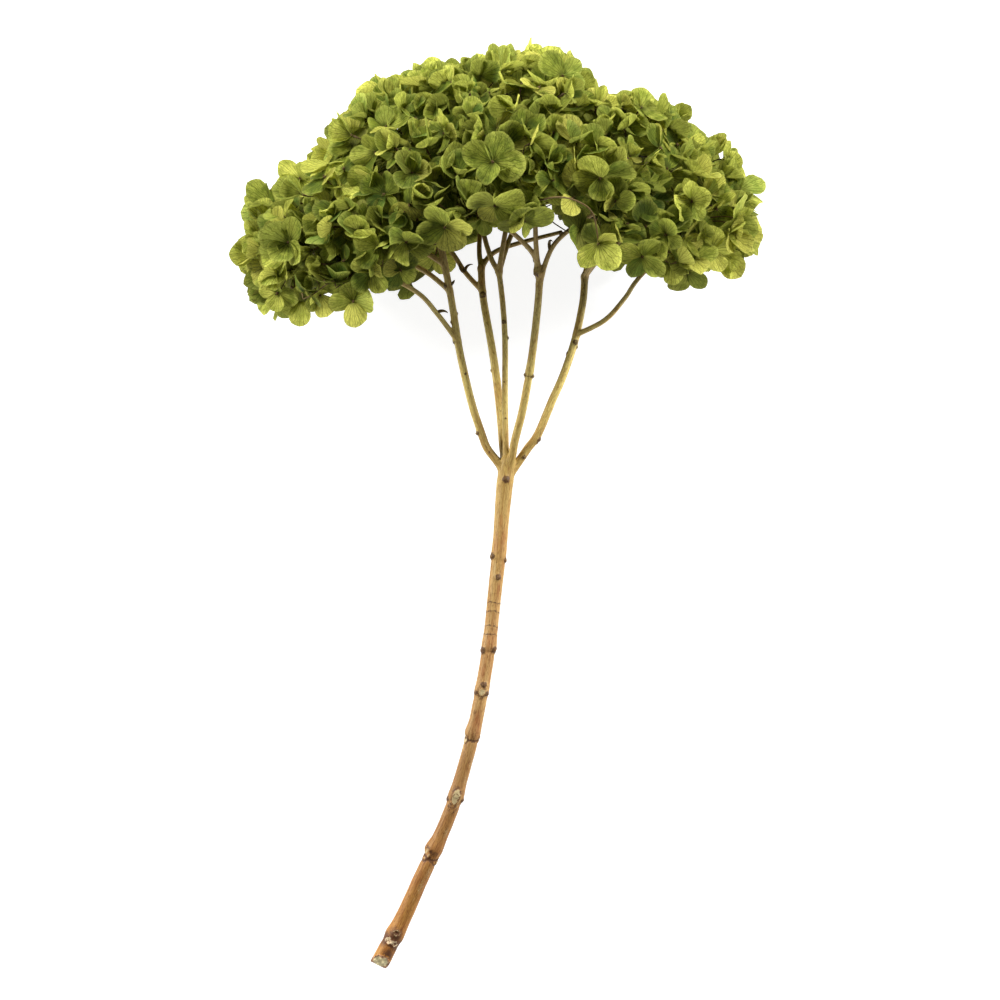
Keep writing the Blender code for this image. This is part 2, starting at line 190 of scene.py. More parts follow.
RAY_MARKS = {
    "far_left": [("bud", 15, 160, 1.5), ("stain", 12, 150, 3.0), ("bud", 5, 100, 0.6),
                 ("bud", 44, 78, 0.8), ("bud", 60.5, 170, 1.3), ("bud", 70, 175, 0.9),
                 ("bud", 73.5, 5, 0.9), ("bud", 88, 165, 1.5)],
    "mid_left": [("bud", 46.5, 178, 0.9), ("bud", 84, 90, 1.8), ("bud", 25, 85, 0.5)],
    "middle": [("bud", 62, 5, 1.1), ("bud", 70, 92, 1.2), ("bud", 22, 80, 0.6), ("bud", 40, 100, 0.5)],
    "mid_right": [("node", 43.5, 90, 1.2), ("seam", 43.5, 90, 0.8), ("bud", 43, 10, 1.3),
                  ("bud", 43, 168, 1.3), ("ring", 31, 0, 0.5), ("node", 92, 0, 2.6), ("bud", 94, 100, 2.4),
                  ("fleck", 99, 80, 1.4)],
    "far_right": [("bud", 12, 20, 1.5), ("stain", 17, 30, 3.0), ("bud", 60, 70, 1.5), ("bud", 58, 10, 1.1),
                  ("bud", 54, 165, 1.0), ("bud", 3, 60, 1.1)],
}

# The head: every floret of the CAD, and more in the gaps between them.
FLORET_EDGE = 16                               # points round a CAD floret's edge
LEAST_EDGE = 5.0                               # nearer points belong to no floret
HUB_CORNERS = 6                                # how many of a cluster's innermost points are round its hub
NEIGHBOUR = 36.0                               # florets nearer than this are neighbours
# More florets between the CAD's: how many, how deep, how much paler, and on which of SEPAL_GRIDS; the deep
# ones are darker, as painted shade.
FILLERS = [(360, (-2.0, 9.0), -0.1, None), (90, (12.0, 26.0), -0.8, "deep")]
FILLER_SPACING = 7.6
# Holes in the head are looked for from eyes in it, at u, v and w, in so many directions and from so far off.
COVER_EYES = [(-2, 85, 0), (-2, 35, 0), (-2, 95, -45), (-2, 95, 45), (50, 100, 0), (-54, 95, 0), (-2, 125, 0)]
COVER_WAYS, COVER_START = 4000, 30.0
COVER = 7.0                                    # a new floret closes the holes as near as this
COVER_DEPTH = (5.0, 14.0)                      # how far below its neighbours it lies
COVER_HEM = 4.0                                # how far above the hem holes are closed
# They are also looked for from the camera, and from so many degrees round and above the surface, so far off.
VIEWS = [(225, 15), (45, 25), (0, 3), (90, 3), (270, 15), (135, 15), (180, 45)]
VIEW_DISTANCE = 3260.0
VIEW_HALF, VIEW_STEP = 130, 2.5                # how far across lines of sight go, and how far apart they are
VIEW_START = 300.0                             # how far from the head they start
VIEW_REACH = 0.98                              # how much of the dome they keep to
VIEW_BEYOND = 3.0                              # how far past the outermost florets' middles they go
VIEW_DEPTH = 6.0                               # how far in along its line of sight a new floret lies
FACING_LEAN = 0.75                             # how unevenly the CAD's florets face
CLUSTER_TONES = (0.25, 0.65)                   # from a dark cluster's to a pale one's
# Painted light at the head's outline, and painted shade in its middle.
PAINTED_OUTLINE_LIGHT, PAINTED_MIDDLE_SHADE = 0.8, 0.68
# How much lower florets lie away from their cluster's middle: by the square of how far, up to that square.
RELIEF, RELIEF_END = 0.009, 700
# How far florets' middles go from the head's centre, by degrees round from +u towards +v.
HEAD_EDGE = [
    (-20, 112), (2, 101), (10, 109), (18, 131), (26, 141), (34, 122), (42, 122), (50, 116), (58, 103),
    (66, 97), (74, 115), (82, 119), (90, 110), (98, 106), (106, 108), (114, 109), (122, 113), (130, 103),
    (138, 105), (146, 103), (154, 113), (162, 126), (170, 123), (178, 116), (186, 100), (200, 98),
]
# The lowest height v of florets' middles by u, in front of the rays and behind them.
FRONT_HEM = [
    (-130, 112), (-118, 96), (-103, 84), (-76, 83), (-58, 90), (-47, 97), (-38, 115), (-18, 119), (0, 117),
    (12, 123), (18, 134), (28, 130), (38, 109), (66, 102), (91, 96), (104, 100), (116, 112), (128, 122),
]
HEM_ROWS = (0, 12, 25)                         # rows of florets above the front hem
HEM_START, HEM_END, HEM_SPACING = -122, 126, 12.5
FRONT_RADII = (129, 118, 96)                   # the dome that they lie on, about HEAD_CENTRE
BACK_HEM = [(-130, 84), (-60, 92), (-38, 112), (-12, 138), (40, 138), (58, 112), (95, 104), (130, 112)]
# How large and how much paler each sepal of a floret is, where all are alike, or two or one stand out.
STANDING_OUT = {
    "all": ([1, 1, 1, 1], [0, 0, 0, 0]),
    "pair": ([1.15, 0.75, 0.7, 1.15], [1.2, -0.2, -0.3, 1.2]),
    "one": ([1.1, 0.85, 0.85, 0.85], [0.9, 0, 0, 0]),
}
# Florets that stand out in front: place, facing, the way the first sepal points, in u, v and w, the size, how
# much paler it is, and which of its sepals stand out.
POSED = [
    ((44, 105, 96), (0.05, -0.25, 1), (0.77, -0.64, 0), 1.2, 0.1, "pair"),
    ((65.5, 99, 84), (0.1, -0.3, 1), (0.9, -0.42, 0), 1.0, 0.2, "all"),
    ((100, 104, 52), (0.5, -0.2, 0.9), (0.98, 0.17, 0), 1.0, 0.3, "all"),
    ((89, 93, 50), (0.2, -0.7, 0.7), (-0.3, -0.9, 0), 1.0, 0.5, "all"),
    ((80, 96, 62), (-0.1, -0.5, 0.85), (0.9, 0.3, 0), 0.85, 0.2, "all"),
    ((-6, 123, 100), (-0.05, -0.6, 0.85), (-0.5, -0.85, 0), 1.2, 0.1, "all"),
    ((-7, 144, 96), (-0.1, 0.1, 1), (0.3, 0.95, 0), 1.15, 0.0, "all"),
    ((-30, 113, 96), (-0.2, -0.6, 0.8), (0.1, -1, 0), 1.1, 0.1, "all"),
    ((8, 116, 98), (0.35, -0.6, 0.8), (0.5, -0.85, 0), 1.1, 0.0, "all"),
    ((45, 137, 88), (0.1, -0.4, 0.9), (0.2, -0.98, 0), 1.2, 0.1, "all"),
    ((90, 127, 64), (0.3, 0.1, 0.95), (-0.9, -0.4, 0), 1.1, 0.4, "one"),
    ((-66, 92, 80), (-0.1, -0.3, 1), (0.57, -0.82, 0), 1.0, 0.3, "all"),
    ((-52, 93, 76), (0.2, -0.4, 0.9), (0.9, -0.3, 0), 0.95, 0.2, "all"),
    ((-75, 78, 70), (-0.1, -0.35, 0.95), (0.05, -1, 0), 1.1, 0.5, "one"),
    ((-80, 87, 66), (-0.1, -0.5, 0.85), (0.3, -0.9, 0), 0.9, 0.2, "all"),
    ((-113, 83, 42), (-0.35, -0.35, 0.9), (0.2, 1, 0), 1.0, 0.2, "all"),
    ((-107, 107, 60), (-0.25, 0, 1), (0.4, 0.92, 0), 1.1, 0.1, "all"),
    ((-102, 80, 24), (-0.1, -0.35, 0.95), (-0.1, -1, 0), 1.0, 0.5, "one"),
    ((-49, 106, 90), (0.1, -0.4, 0.9), (0.8, -0.5, 0), 0.95, 0.0, "all"),
    ((-92, 82, 48), (-0.1, -0.7, 0.7), (-0.6, -0.7, 0), 0.9, 0.5, "all"),
    ((-62, 104, 88), (-0.2, -0.2, 1), (0.6, 0.7, 0), 1.0, -0.1, "all"),
    ((77, 110, 80), (0, -0.2, 1), (0.5, 0.8, 0), 0.9, 0.1, "all"),
    ((-103, 141, 10), (-0.3, 0.2, 0.9), (-0.75, 0.65, 0), 1.05, 0.5, "all"),
    ((115, 135, 10), (0.4, 0.2, 0.9), (0.85, 0.5, 0), 1.0, 0.3, "all"),
    ((9, 201, 10), (0.9, 0, 0.3), (-0.35, 1, 0), 1.0, 0.2, "all"),
    ((-36, 106, -46), (0, -0.5, -0.8), (0.4, -0.9, 0), 1.0, 1.0, "all"),
]
POSED_CLEAR, POSED_DEPTH = 9.0, 40             # how far beside and in front of them others are left out
LONG_STALK = [(15, 126, 88), (24, 127, 100), (33, 125, 106), (41, 119, 106), (44, 105.5, 97)]
SEPAL_LENGTH = (10.4, 14.8)
SEPAL_SPREAD = (47, 62)                        # half the angle that a sepal fans out over, in degrees
SEPAL_BASE = 0.5                               # how far sepals reach past their floret's middle
PAIR_LIFT = (-0.1, 0.25)                       # how far forward the two pairs of sepals are
SEPAL_GRIDS = {"near": (8, 16), "far": (6, 12), "deep": (5, 10)}  # rings and spokes of points
SPOKE_SINE = 84                                # spokes crowd to the sides as a sine does up to these degrees
SHARP_FOLDS, SHARP_FOLD = 0.07, (1.2, 1.9)     # the share of sepals that are folded sharply, and how far
# How florets hold their sepals: up to which share of florets, and how raised, curled and folded sepals are.
HABITS = [
    (0.2, {"hinge": 12, "curl": 0.1, "fold": 0.3}), (0.64, {"hinge": 36, "curl": 0.4, "fold": 0.55}),
    (0.88, {"hinge": 58, "curl": 0.1, "fold": 0.7}), (1.0, {"hinge": -16, "curl": -0.5, "fold": -0.3}),
]
POSED_HABIT = {"hinge": 12, "curl": 0.2, "fold": 0.3}
FLORET_SIZES = (0.8, 0.9, 1.0, 1.0, 1.08)
RUFFLE = (0.15, 0.7)                           # how high sepals' margins wave
FAR_SIDE = -15.0                               # florets further back than this are on the far side
PEDICEL_RADII = (0.38, 0.28)
PEDICEL_STEPS = 7
PEDUNCLE_RADII = (0.85, 0.6)
PEDUNCLE_STEPS = 9
BEAD_RADII = (0.75, 0.38)                      # of a floret's dried middle, and of the buds round it
BUDS = 3
FLOOR_SOFTNESS = 0.8                           # how gently points are eased up off the surface

# Dried bracts on the limbs: near which (u, v, w), the way each points, the side it curls to, and its length.
BRACTS = [
    ((-20, 97.5, -31), (-0.3, 0.9, 0.4), (0.9, 0.3, 0), 7.0),
    ((-20.5, 94.5, -32), (-0.9, 0.2, 0.5), (-0.2, 0.9, 0.3), 6.0),
    ((-35, 74.5, 14), (0.7, 0.7, 0.3), (0.9, -0.4, 0), 6.0),
    ((10.5, 103.5, 36), (-0.9, 0.1, 0.3), (0.1, 0.9, 0), 5.5),
    ((13.5, 97, 31), (-0.9, 0.3, 0.5), (0.4, 0.9, 0), 6.0),
    ((21, 104, 33), (-0.3, 1.0, 0.2), (0.3, 0, 1), 11.0),
    ((25, 112, 40), (-0.5, 0.9, 0.3), (0.6, 0, 1), 5.0),
    ((-29, 88, 11), (0.8, 0.5, 0.4), (0.5, 0.8, 0), 4.0),
]

# The bark's colour by height v, on the stem and then the rays; from v 45 to 115 it is made paler with painted
# light, against the head's shadow on the rays.
BARK_COLOURS_AND_PAINTED_LIGHT = [
    (-252, (182, 130, 56)), (-205, (172, 124, 62)), (-165, (167, 126, 71)), (-100, (199, 161, 101)),
    (-45, (194, 158, 92)), (0, (184, 156, 84)), (14, (190, 168, 95)), (45, (224, 206, 122)),
    (72, (240, 222, 140)), (92, (226, 204, 134)), (115, (190, 166, 108)), (150, (104, 88, 54)),
]
TWIG_DARKER = 0.8                              # how much browner the head's thin stalks are
# A sepal's main veins and those between them: how many a side, how wide, from how far out, and how strong.
SEPAL_VEINS = [(4.0, 0.17, 0.0, 0.95), (9.0, 0.12, 0.3, 0.65)]
THROUGH_SEPALS = 0.36                          # the share of light that goes through
BUMP_DEPTH = 0.0004                            # metres

LENS, SENSOR = 200.0, 36.0
PICTURE_SPAN = 500.0                           # millimetres across the picture
PICTURE_CENTRE = (-3.5, -19, 0)
CAMERA_AWAY = PICTURE_SPAN * LENS / SENSOR
BACKDROP = 0.93                                # as bright as the floor's far end
AMBIENT = 0.06                                 # the backdrop's own light on the plant
# The lamps, in metres: where each is, how wide and how strong.
LAMPS = {
    "rim": ((-0.3, 1.4, 0.75), 0.5, 38), "right": ((1.4, 0.6, 0.75), 0.5, 42),
    "left": ((-1.45, 0.4, 0.7), 0.5, 36), "key": ((0.4, 0.0, 1.6), 0.7, 3.5),
}
LAMPS_FACE = (0, 0.05, 0.08)
FLOOR_HALF, FLOOR_DROP = 4.0, 0.0005           # metres


# ---------------------------------------------------------------- geometry

def placed(points):
    """Points of the plant's axes, in the frame's."""
    return FORK + np.asarray(points, float) @ AXES.T


def in_plant(points):
    """Points of the frame, in the plant's axes."""
    return (np.asarray(points) - FORK) @ AXES


def unit(vectors):
    return vectors / np.maximum(np.linalg.norm(vectors, axis=-1, keepdims=True), 1e-9)


def smooth_route(points, step=ROUTE_STEP):
    """Points about a step apart on a Catmull-Rom curve through the given ones."""
    points = np.asarray(points, float)
    ends = np.vstack([points[:1], points, points[-1:]])
    route = []
    for a, b, c, d in zip(ends, ends[1:], ends[2:], ends[3:]):
        count = max(1, round(float(np.linalg.norm(c - b)) / step))
        t = (np.arange(count) / count)[:, None]
        route.append(0.5 * (2 * b + (c - a) * t + (2 * a - 5 * b + 4 * c - d) * t ** 2
                            + (3 * b - a - 3 * c + d) * t ** 3))
    return np.vstack(route + [points[-1:]])


def frames_along(route):
    """For each point of a route, its heading, and two ways square to it that twist as little as can be."""
    heading = unit(np.gradient(route, axis=0))
    front = AXES[:, 2] if abs(heading[0] @ AXES[:, 2]) < 0.9 else AXES[:, 0]
    fronts = []
    for way in heading:
        front = unit(front - way * (front @ way))
        fronts.append(front)
    fronts = np.array(fronts)
    return heading, np.cross(heading, fronts), fronts


def tube(route, radii, sides):
    """A closed round tube along a route: points, triangles and quads."""
    _, side, front = frames_along(route)
    turn = np.arange(sides) * 2 * math.pi / sides
    around = np.cos(turn)[:, None] * side[:, None] + np.sin(turn)[:, None] * front[:, None]
    points = (route[:, None] + np.asarray(radii)[:, None, None] * around).reshape(-1, 3)
    first = np.arange(len(route) - 1)[:, None] * sides + np.arange(sides)
    after = np.arange(len(route) - 1)[:, None] * sides + (np.arange(sides) + 1) % sides
    quads = np.stack([first, after, after + sides, first + sides], -1).reshape(-1, 4)
    start, end = len(points), len(points) + 1
    last = (len(route) - 1) * sides
    here, there = np.arange(sides), (np.arange(sides) + 1) % sides
    triangles = np.vstack([
        np.stack([there, here, np.full(sides, start)], -1),
        np.stack([here + last, there + last, np.full(sides, end)], -1),
    ])
    return np.vstack([points, route[:1], route[-1:]]), triangles, quads


class Form:
    """Points, faces and point attributes, gathered for one piece."""

    def __init__(self):
        self.count = 0
        self.parts = []

    def add(self, points, triangles, quads, **fields):
        self.parts.append((points, triangles + self.count, quads + self.count, fields))
        self.count += len(points)

    def mesh(self, name):
        points, triangles, quads = (np.vstack([part[k] for part in self.parts]) for k in range(3))
        mesh = bpy.data.meshes.new(name)
        mesh.vertices.add(len(points))
        mesh.vertices.foreach_set("co", (points * MM).ravel())
        mesh.loops.add(triangles.size + quads.size)
        mesh.loops.foreach_set("vertex_index", np.concatenate([triangles.ravel(), quads.ravel()]))
        starts = np.concatenate([np.arange(len(triangles)) * 3, triangles.size + np.arange(len(quads)) * 4])
        mesh.polygons.add(len(starts))
        mesh.polygons.foreach_set("loop_start", starts)
        mesh.update(calc_edges=True)
        mesh.validate()
        for field in self.parts[0][3]:
            values = np.concatenate([part[3][field] for part in self.parts])
            kind, slot = ("FLOAT_VECTOR", "vector") if values.ndim == 2 else ("FLOAT", "value")
            data = mesh.attributes.new(field, kind, "POINT").data
            data.foreach_set(slot, values.astype(np.float32).ravel())
        mesh.polygons.foreach_set("use_smooth", np.ones(len(starts), bool))
        return mesh


def show(name, mesh, material, slot, *nodes):
    """Make a piece of a mesh, give it its material, hang it under the root and hide the CAD nodes that it
    stands for.
    """
    piece = bpy.data.objects.new(name, mesh)
    bpy.context.scene.collection.objects.link(piece)
    mesh.materials.append(material)
    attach(piece, "root")
    if nodes:
        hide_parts(*nodes)


# ---------------------------------------------------------------- woody limbs

class Limb:
    """A round woody limb: its route, its radii (at its two ends, or by height v) and the marks on it."""

    def __init__(self, piece, number, route, radii, marks=(), is_ray=False):
        self.piece, self.number, self.is_ray = piece, number, is_ray
        self.plant_route = smooth_route(route)
        self.route = placed(self.plant_route)
        steps = np.linalg.norm(np.diff(self.route, axis=0), axis=1)
        self.walked = np.concatenate([[0], np.cumsum(steps)])
        if len(radii) == 2:
            self.radii = np.interp(self.walked, (0, self.walked[-1]), radii)
        else:
            self.radii = np.interp(self.plant_route[:, 1], *zip(*radii))
        self.heading, self.side, self.front = frames_along(self.route)
        self.marks = marks
        self.low, self.high = self.route.min(0), self.route.max(0)

    def near(self, points, reach):
        return np.flatnonzero(((points > self.low - reach) & (points < self.high + reach)).all(1))

    def locate(self, points):
        """For each point, how it lies from the nearest spot of the route, and what the limb is like there."""
        best = np.full(len(points), np.inf)
        index, share = np.zeros(len(points), int), np.zeros(len(points))
        for k, (a, b) in enumerate(zip(self.route, self.route[1:])):
            along = b - a
            t = np.clip((points - a) @ along / (along @ along), 0, 1)
            gap = points - a - t[:, None] * along
            far = np.einsum("ij,ij->i", gap, gap)
            closer = far < best
            best[closer], index[closer], share[closer] = far[closer], k, t[closer]

        def blended(values):
            mix = share if values.ndim == 1 else share[:, None]
            return values[index] * (1 - mix) + values[index + 1] * mix

        out = points - blended(self.route)
        angle = np.arctan2(np.einsum("ij,ij->i", out, blended(self.front)),
                           np.einsum("ij,ij->i", out, blended(self.side)))
        return {
            "distance": np.sqrt(best), "out": unit(out), "walk": blended(self.walked), "angle": angle,
            "height": blended(self.plant_route[:, 1]), "radius": blended(self.radii),
        }


def bell(x):
    return np.exp(-x * x)


def step_up(x, low, high):
    t = np.clip((x - low) / (high - low), 0, 1)
    return t * t * (3 - 2 * t)


def ragged(spot, seed):
    """A smooth wobble over the bark, which makes its marks uneven."""
    along, across = spot["walk"], spot["angle"] * spot["radius"]
    return (0.5 * np.sin(1.7 * along + 2.1 * across + seed)
            + 0.35 * np.sin(2.9 * along - 3.3 * across + 2 * seed)
            + 0.3 * np.sin(5.3 * across + 4.1 * along + 3 * seed))


def marked(limb, spot):
    """What a limb's marks do at each spot: how far the bark stands out, and how pale, dark and red it is."""
    bump = np.zeros(len(spot["height"]))
    tints = {name: np.zeros(len(bump)) for name in ("pale", "dark", "red")}

    def tint(name, share):
        tints[name] = np.maximum(tints[name], share)

    for number, (kind, height, degrees, size) in enumerate(limb.marks):
        wobble, twist = ragged(spot, number), ragged(spot, number + 2.5)
        along = spot["height"] - height + 0.25 * wobble
        turn = (spot["angle"] - math.radians(degrees) + math.pi) % (2 * math.pi) - math.pi
        across = turn * spot["radius"] + 0.25 * twist
        away = np.hypot(along, across)
        for name, share, tall, wide in PATCHES.get(kind, ()):
            tint(name, share * bell(along / (tall * size)) * bell(across / (wide * size)))
        if kind == "node":
            side = 0.75 + 0.4 * np.cos(turn)
            bump += 0.27 * size * side * bell((along - 1.6) / np.where(along > 1.6, 4.2, 2.0))
            bump -= 0.12 * bell((along + 2.6) / 1.2)
        elif kind == "ring":
            wave = along - 0.5 * np.sin(spot["angle"]) + 0.2 * np.sin(3 * spot["angle"] + height)
            bump += 0.08 * size * bell(wave / 0.6)
            tint("dark", size * bell((wave + 0.1) / 0.42) * (0.9 + 0.3 * twist))
        elif kind == "seam":
            dip = along + 1.6 * np.abs(np.cos(turn)) - 0.8
            bump -= 0.25 * bell(dip / 0.5)
            tint("dark", size * bell(dip / (0.7 + 0.25 * twist)) * (0.85 + 0.3 * wobble))
        elif kind == "bud":
            bump += 0.62 * size * bell(away / (0.8 * size)) + 0.15 * size * wobble * bell(away / size)
            tint("dark", 0.95 * bell((away - 0.62 * size) / (0.42 * size)))
            tint("dark", (0.75 + 0.4 * twist) * bell(away / (0.6 * size)))
        elif kind == "hole":
            bump += 0.35 * bell((away - 1.1 * size) / 0.5) - 0.3 * bell(away / (0.7 * size))
            tint("pale", 1.3 * bell((away - 1.1 * size) / 0.5) * (0.85 + 0.3 * twist))
            # Painted shade: the hole's inside is painted dark, as its dip is shallow.
            tint("dark", 1.3 * bell(away / (0.75 * size)))
        elif kind == "fleck":
            tint("pale", 0.4 * bell(away / size))
            tint("dark", 0.5 * bell(away / (0.7 * size)))
        elif kind == "crease":
            bump -= 0.15 * bell(along / size) * bell(across / 0.3)
            tint("dark", 0.55 * bell(along / size) * bell(across / 0.28) * (0.8 + 0.5 * wobble))
        elif kind in SCARS:
            tall, wide, paleness = SCARS[kind]
            oval = np.hypot(along / (tall * size), across / (wide * size)) + 0.1 * wobble
            bump += 0.34 * step_up(-oval, -1.35, -0.85) - 0.22 * step_up(-oval, -0.8, -0.2)
            bump += 0.10 * twist * step_up(-oval, -1.0, -0.6)
            tint("pale", step_up(-oval, -1.05, -0.8) * (paleness + 0.3 * twist))
            tint("dark", 0.9 * bell((oval - 1.2) / 0.28) * (0.75 + 0.5 * wobble))
            tint("dark", 0.35 * bell((oval - 0.55) / 0.12))
            if kind == "torn":
                tint("red", step_up(-oval, -1.15, -0.95))
        elif kind == "eye":
            tint("dark", 0.85 * bell((away - 0.9 * size) / 0.4))
            tint("dark", 0.5 * bell(away / 0.35))
        elif kind == "hood":
            edge = np.abs(along - (np.abs(across) * 1.1 - 0.3 * size))
            inside = step_up(-np.abs(across), -size, -0.75 * size)
            bump += 0.35 * bell(edge / 0.7) * inside
            tint("dark", 0.9 * bell((edge - 0.5) / 0.35) * inside * (0.8 + 0.4 * twist))
    return bump, np.stack([tints["pale"], tints["dark"], tints["red"]], -1)


def bark_ridges(spot):
    """Shallow lengthwise ridges, which drift round the limb."""
    drift = 0.5 * np.sin(spot["walk"] / 31) + 0.3 * np.sin(spot["walk"] / 13 + 1)
    angle = spot["angle"] + 0.25 * drift
    height = 0.5 * np.sin(7 * angle) + 0.3 * np.sin(11 * angle + 2) + 0.2 * np.sin(17 * angle + 5)
    lumps = np.sin(spot["walk"] / 4.1 + 2 * spot["angle"]) * np.sin(spot["walk"] / 2.3 - spot["angle"])
    return (0.045 * height + 0.03 * lumps) * spot["radius"] / 2.5


def onto_skin(points, limbs):
    """Move points to where the limbs' rounded surfaces run smoothly into each other."""
    for _ in range(SKIN_ROUNDS):
        total, push = np.full(len(points), 1e-30), np.zeros_like(points)
        for limb in limbs:
            close = limb.near(points, SKIN_REACH)
            if not len(close):
                continue
            spot = limb.locate(points[close])
            bump = marked(limb, spot)[0]
            weight = np.exp(-(spot["distance"] - spot["radius"] - bump - bark_ridges(spot)) / BLEND)
            total[close] += weight
            push[close] += weight[:, None] * spot["out"]
        lift = -BLEND * np.log(total)
        points = points - np.clip(lift, -1.5, 1.5)[:, None] * unit(push)
    return points


def cut_off(points, rough, stem, draws):
    """Flatten the stem's foot to a ragged slanting cut, and say how far each point is bared wood."""
    foot, heading = stem.route[0], stem.heading[0]
    past = (rough - foot) @ heading
    from_axis = np.linalg.norm(rough - foot - past[:, None] * heading, axis=1)
    end_face = (past < VOXEL) & (from_axis < stem.radii[0] - VOXEL)
    points = np.where(end_face[:, None], rough, points)
    past = (points - foot) @ heading
    out = points - foot - past[:, None] * heading
    across, front = out @ stem.side[0], out @ stem.front[0]
    phase = [draws.uniform(0, 6) for _ in range(4)]
    splinters = 0.55 * np.sin(1.5 * across + phase[0]) * np.sin(1.2 * front + phase[1])
    splinters += 0.2 * np.sin(4.2 * across + phase[2]) * np.sin(3.7 * front + phase[3])
    cut = CUT_DEPTH + CUT_SLOPES[0] * across + CUT_SLOPES[1] * front + splinters
    inside = past < cut
    points = np.where(inside[:, None], points + (cut - past)[:, None] * heading, points)
    ring = np.hypot(across, front) / stem.radii[0]
    bared = bell(np.maximum((points - foot) @ heading - cut, 0) / 0.5) * (past < 9)
    return points, bared * (1 - 0.5 * step_up(ring, 0.62, 0.9))


def weld(mesh, middle):
    """Join the points that the cut has pressed together near its middle."""
    form = bmesh.new()
    form.from_mesh(mesh)
    near = [vertex for vertex in form.verts if (vertex.co / MM - Vector(middle)).length < CUT_REACH]
    bmesh.ops.remove_doubles(form, verts=near, dist=CUT_WELD * MM)
    form.to_mesh(mesh)
    form.free()


def one_skin(limbs):
    """A fine even skin over all the limbs' rough tubes: its points and its quads."""
    rough = Form()
    for limb in limbs:
        rough.add(*tube(limb.route, limb.radii, LIMB_SIDES))
    source = bpy.data.objects.new("rough", rough.mesh("rough"))
    bpy.context.scene.collection.objects.link(source)
    remesh = source.modifiers.new("remesh", "REMESH")
    remesh.mode = "VOXEL"
    remesh.voxel_size = VOXEL * MM
    skin = source.evaluated_get(bpy.context.evaluated_depsgraph_get()).to_mesh()
    points = np.empty(len(skin.vertices) * 3)
    skin.vertices.foreach_get("co", points)
    quads = np.empty(len(skin.loops), int)
    skin.loops.foreach_get("vertex_index", quads)
    bpy.data.objects.remove(source)
    return points.reshape(-1, 3) / MM, quads.reshape(-1, 4)


def grown_over(points, limbs, wood):
    """Of each point of the skin: the number of its piece, its place in the bark's grain, and its marks."""
    best = np.full(len(points), np.inf)
    owner = np.zeros(len(points), int)
    grain, marks = np.zeros((len(points), 3)), np.zeros((len(points), 3))
    for number, limb in enumerate(limbs):
        close = limb.near(points, MARK_REACH)
        spot = limb.locate(points[close])
        depth = spot["distance"] - spot["radius"]
        nearer = depth < best[close]
        chosen = close[nearer]
        best[chosen] = depth[nearer]
        in_stub = (spot["walk"] < FORK_STUB) & limb.is_ray
        owner[chosen] = np.where(in_stub, 0, limb.number)[nearer]
        across, front = (spot["radius"] * turned(spot["angle"]) for turned in (np.cos, np.sin))
        grain[chosen] = np.stack([across, front, spot["walk"] + GRAIN_APART * number], -1)[nearer]
        marks[chosen] = marked(limb, spot)[1][nearer]
    wooden = (wood > 0.02) & (owner == 0)
    marks[wooden, 1] = 0
    marks[wooden, 2] = -2 * wood[wooden]
    return owner, grain, marks


def limb_pieces(limbs, bark, draws):
    """The stem and the rays: one skin over all the limbs, cut into a piece for each CAD node."""
    stem = limbs[0]
    rough, quads = one_skin(limbs)
    points, wood = cut_off(onto_skin(rough, limbs), rough, stem, draws)
    owner, grain, marks = grown_over(points, limbs, wood)
    height = (points - FORK) @ AXES[:, 1]
    home = owner[quads].min(1)
    for number, name in enumerate([stem.piece] + [f"ray_{name}" for name in RAYS]):
        used, faces = np.unique(quads[home == number], return_inverse=True)
        form = Form()
        form.add(points[used], np.zeros((0, 3), int), faces.reshape(-1, 4), grain=grain[used],
                 marks=marks[used], height=height[used])
        mesh = form.mesh(name)
        if number == 0:
            weld(mesh, stem.route[0])
        show(f"{name}_bark", mesh, bark, "ray_bark" if number else "stem_bark", name)


def make_limbs():
    """The stem, then each ray and its stalks."""
    limbs = [Limb("main_stem", 0, STEM_ROUTE, STEM_RADII, STEM_MARKS)]
    for number, (name, ray) in enumerate(RAYS.items(), 1):
        piece = f"ray_{name}"
        limbs.append(Limb(piece, number, ray["route"], ray["radii"], RAY_MARKS[name], is_ray=True))
        limbs += [Limb(piece, number, route, STALK_RADII) for route in ray["stalks"]]
    return limbs


# ---------------------------------------------------------------- florets

def cad_florets(node):
    """The CAD's florets of one flower cluster: their middles and facings, and their cluster's hub."""
    form = bmesh.new()
    form.from_mesh(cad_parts[node].data)
    bmesh.ops.remove_doubles(form, verts=form.verts, dist=1e-6)
    florets = []
    for vertex in form.verts:
        if len(vertex.link_faces) != FLORET_EDGE:
            continue
        edge = np.array([e.other_vert(vertex).co[:] for e in vertex.link_edges]) / MM
        middle = np.array(vertex.co[:]) / MM
        if np.linalg.norm(edge - middle, axis=1).mean() < LEAST_EDGE:
            continue
        facing = unit(sum(np.array(face.normal[:]) for face in vertex.link_faces))
        florets.append({"place": middle, "facing": facing, "node": node})
    corners = np.array([vertex.co[:] for vertex in form.verts]) / MM
    form.free()
    outward = unit(np.mean([floret["place"] for floret in florets], axis=0) - placed(HEAD_CENTRE))
    hub = corners[np.argsort(corners @ outward)[:HUB_CORNERS]].mean(0)
    for floret in florets:
        floret["hub"] = hub
    return florets


def new_floret(place, facing, hubs, **traits):
    """A floret on the cluster whose hub is nearest."""
    node = min(hubs, key=lambda name: np.linalg.norm(place - hubs[name]))
    return {"place": place, "facing": facing, "node": node, "hub": hubs[node], **traits}


def spread(amount, draws):
    return np.array([draws.uniform(-amount, amount) for _ in range(3)])


def head_edge(across, up):
    """How far the head's outline is from its centre, on the way to a place beside it."""
    turn = math.degrees(math.atan2(up, across))
    return float(np.interp(turn + 360 if turn < -90 else turn, *zip(*HEAD_EDGE)))


def hem_at(u, w):
    """The lowest height of florets' middles there."""
    return np.interp(u, *zip(*(FRONT_HEM if w > 0 else BACK_HEM)))


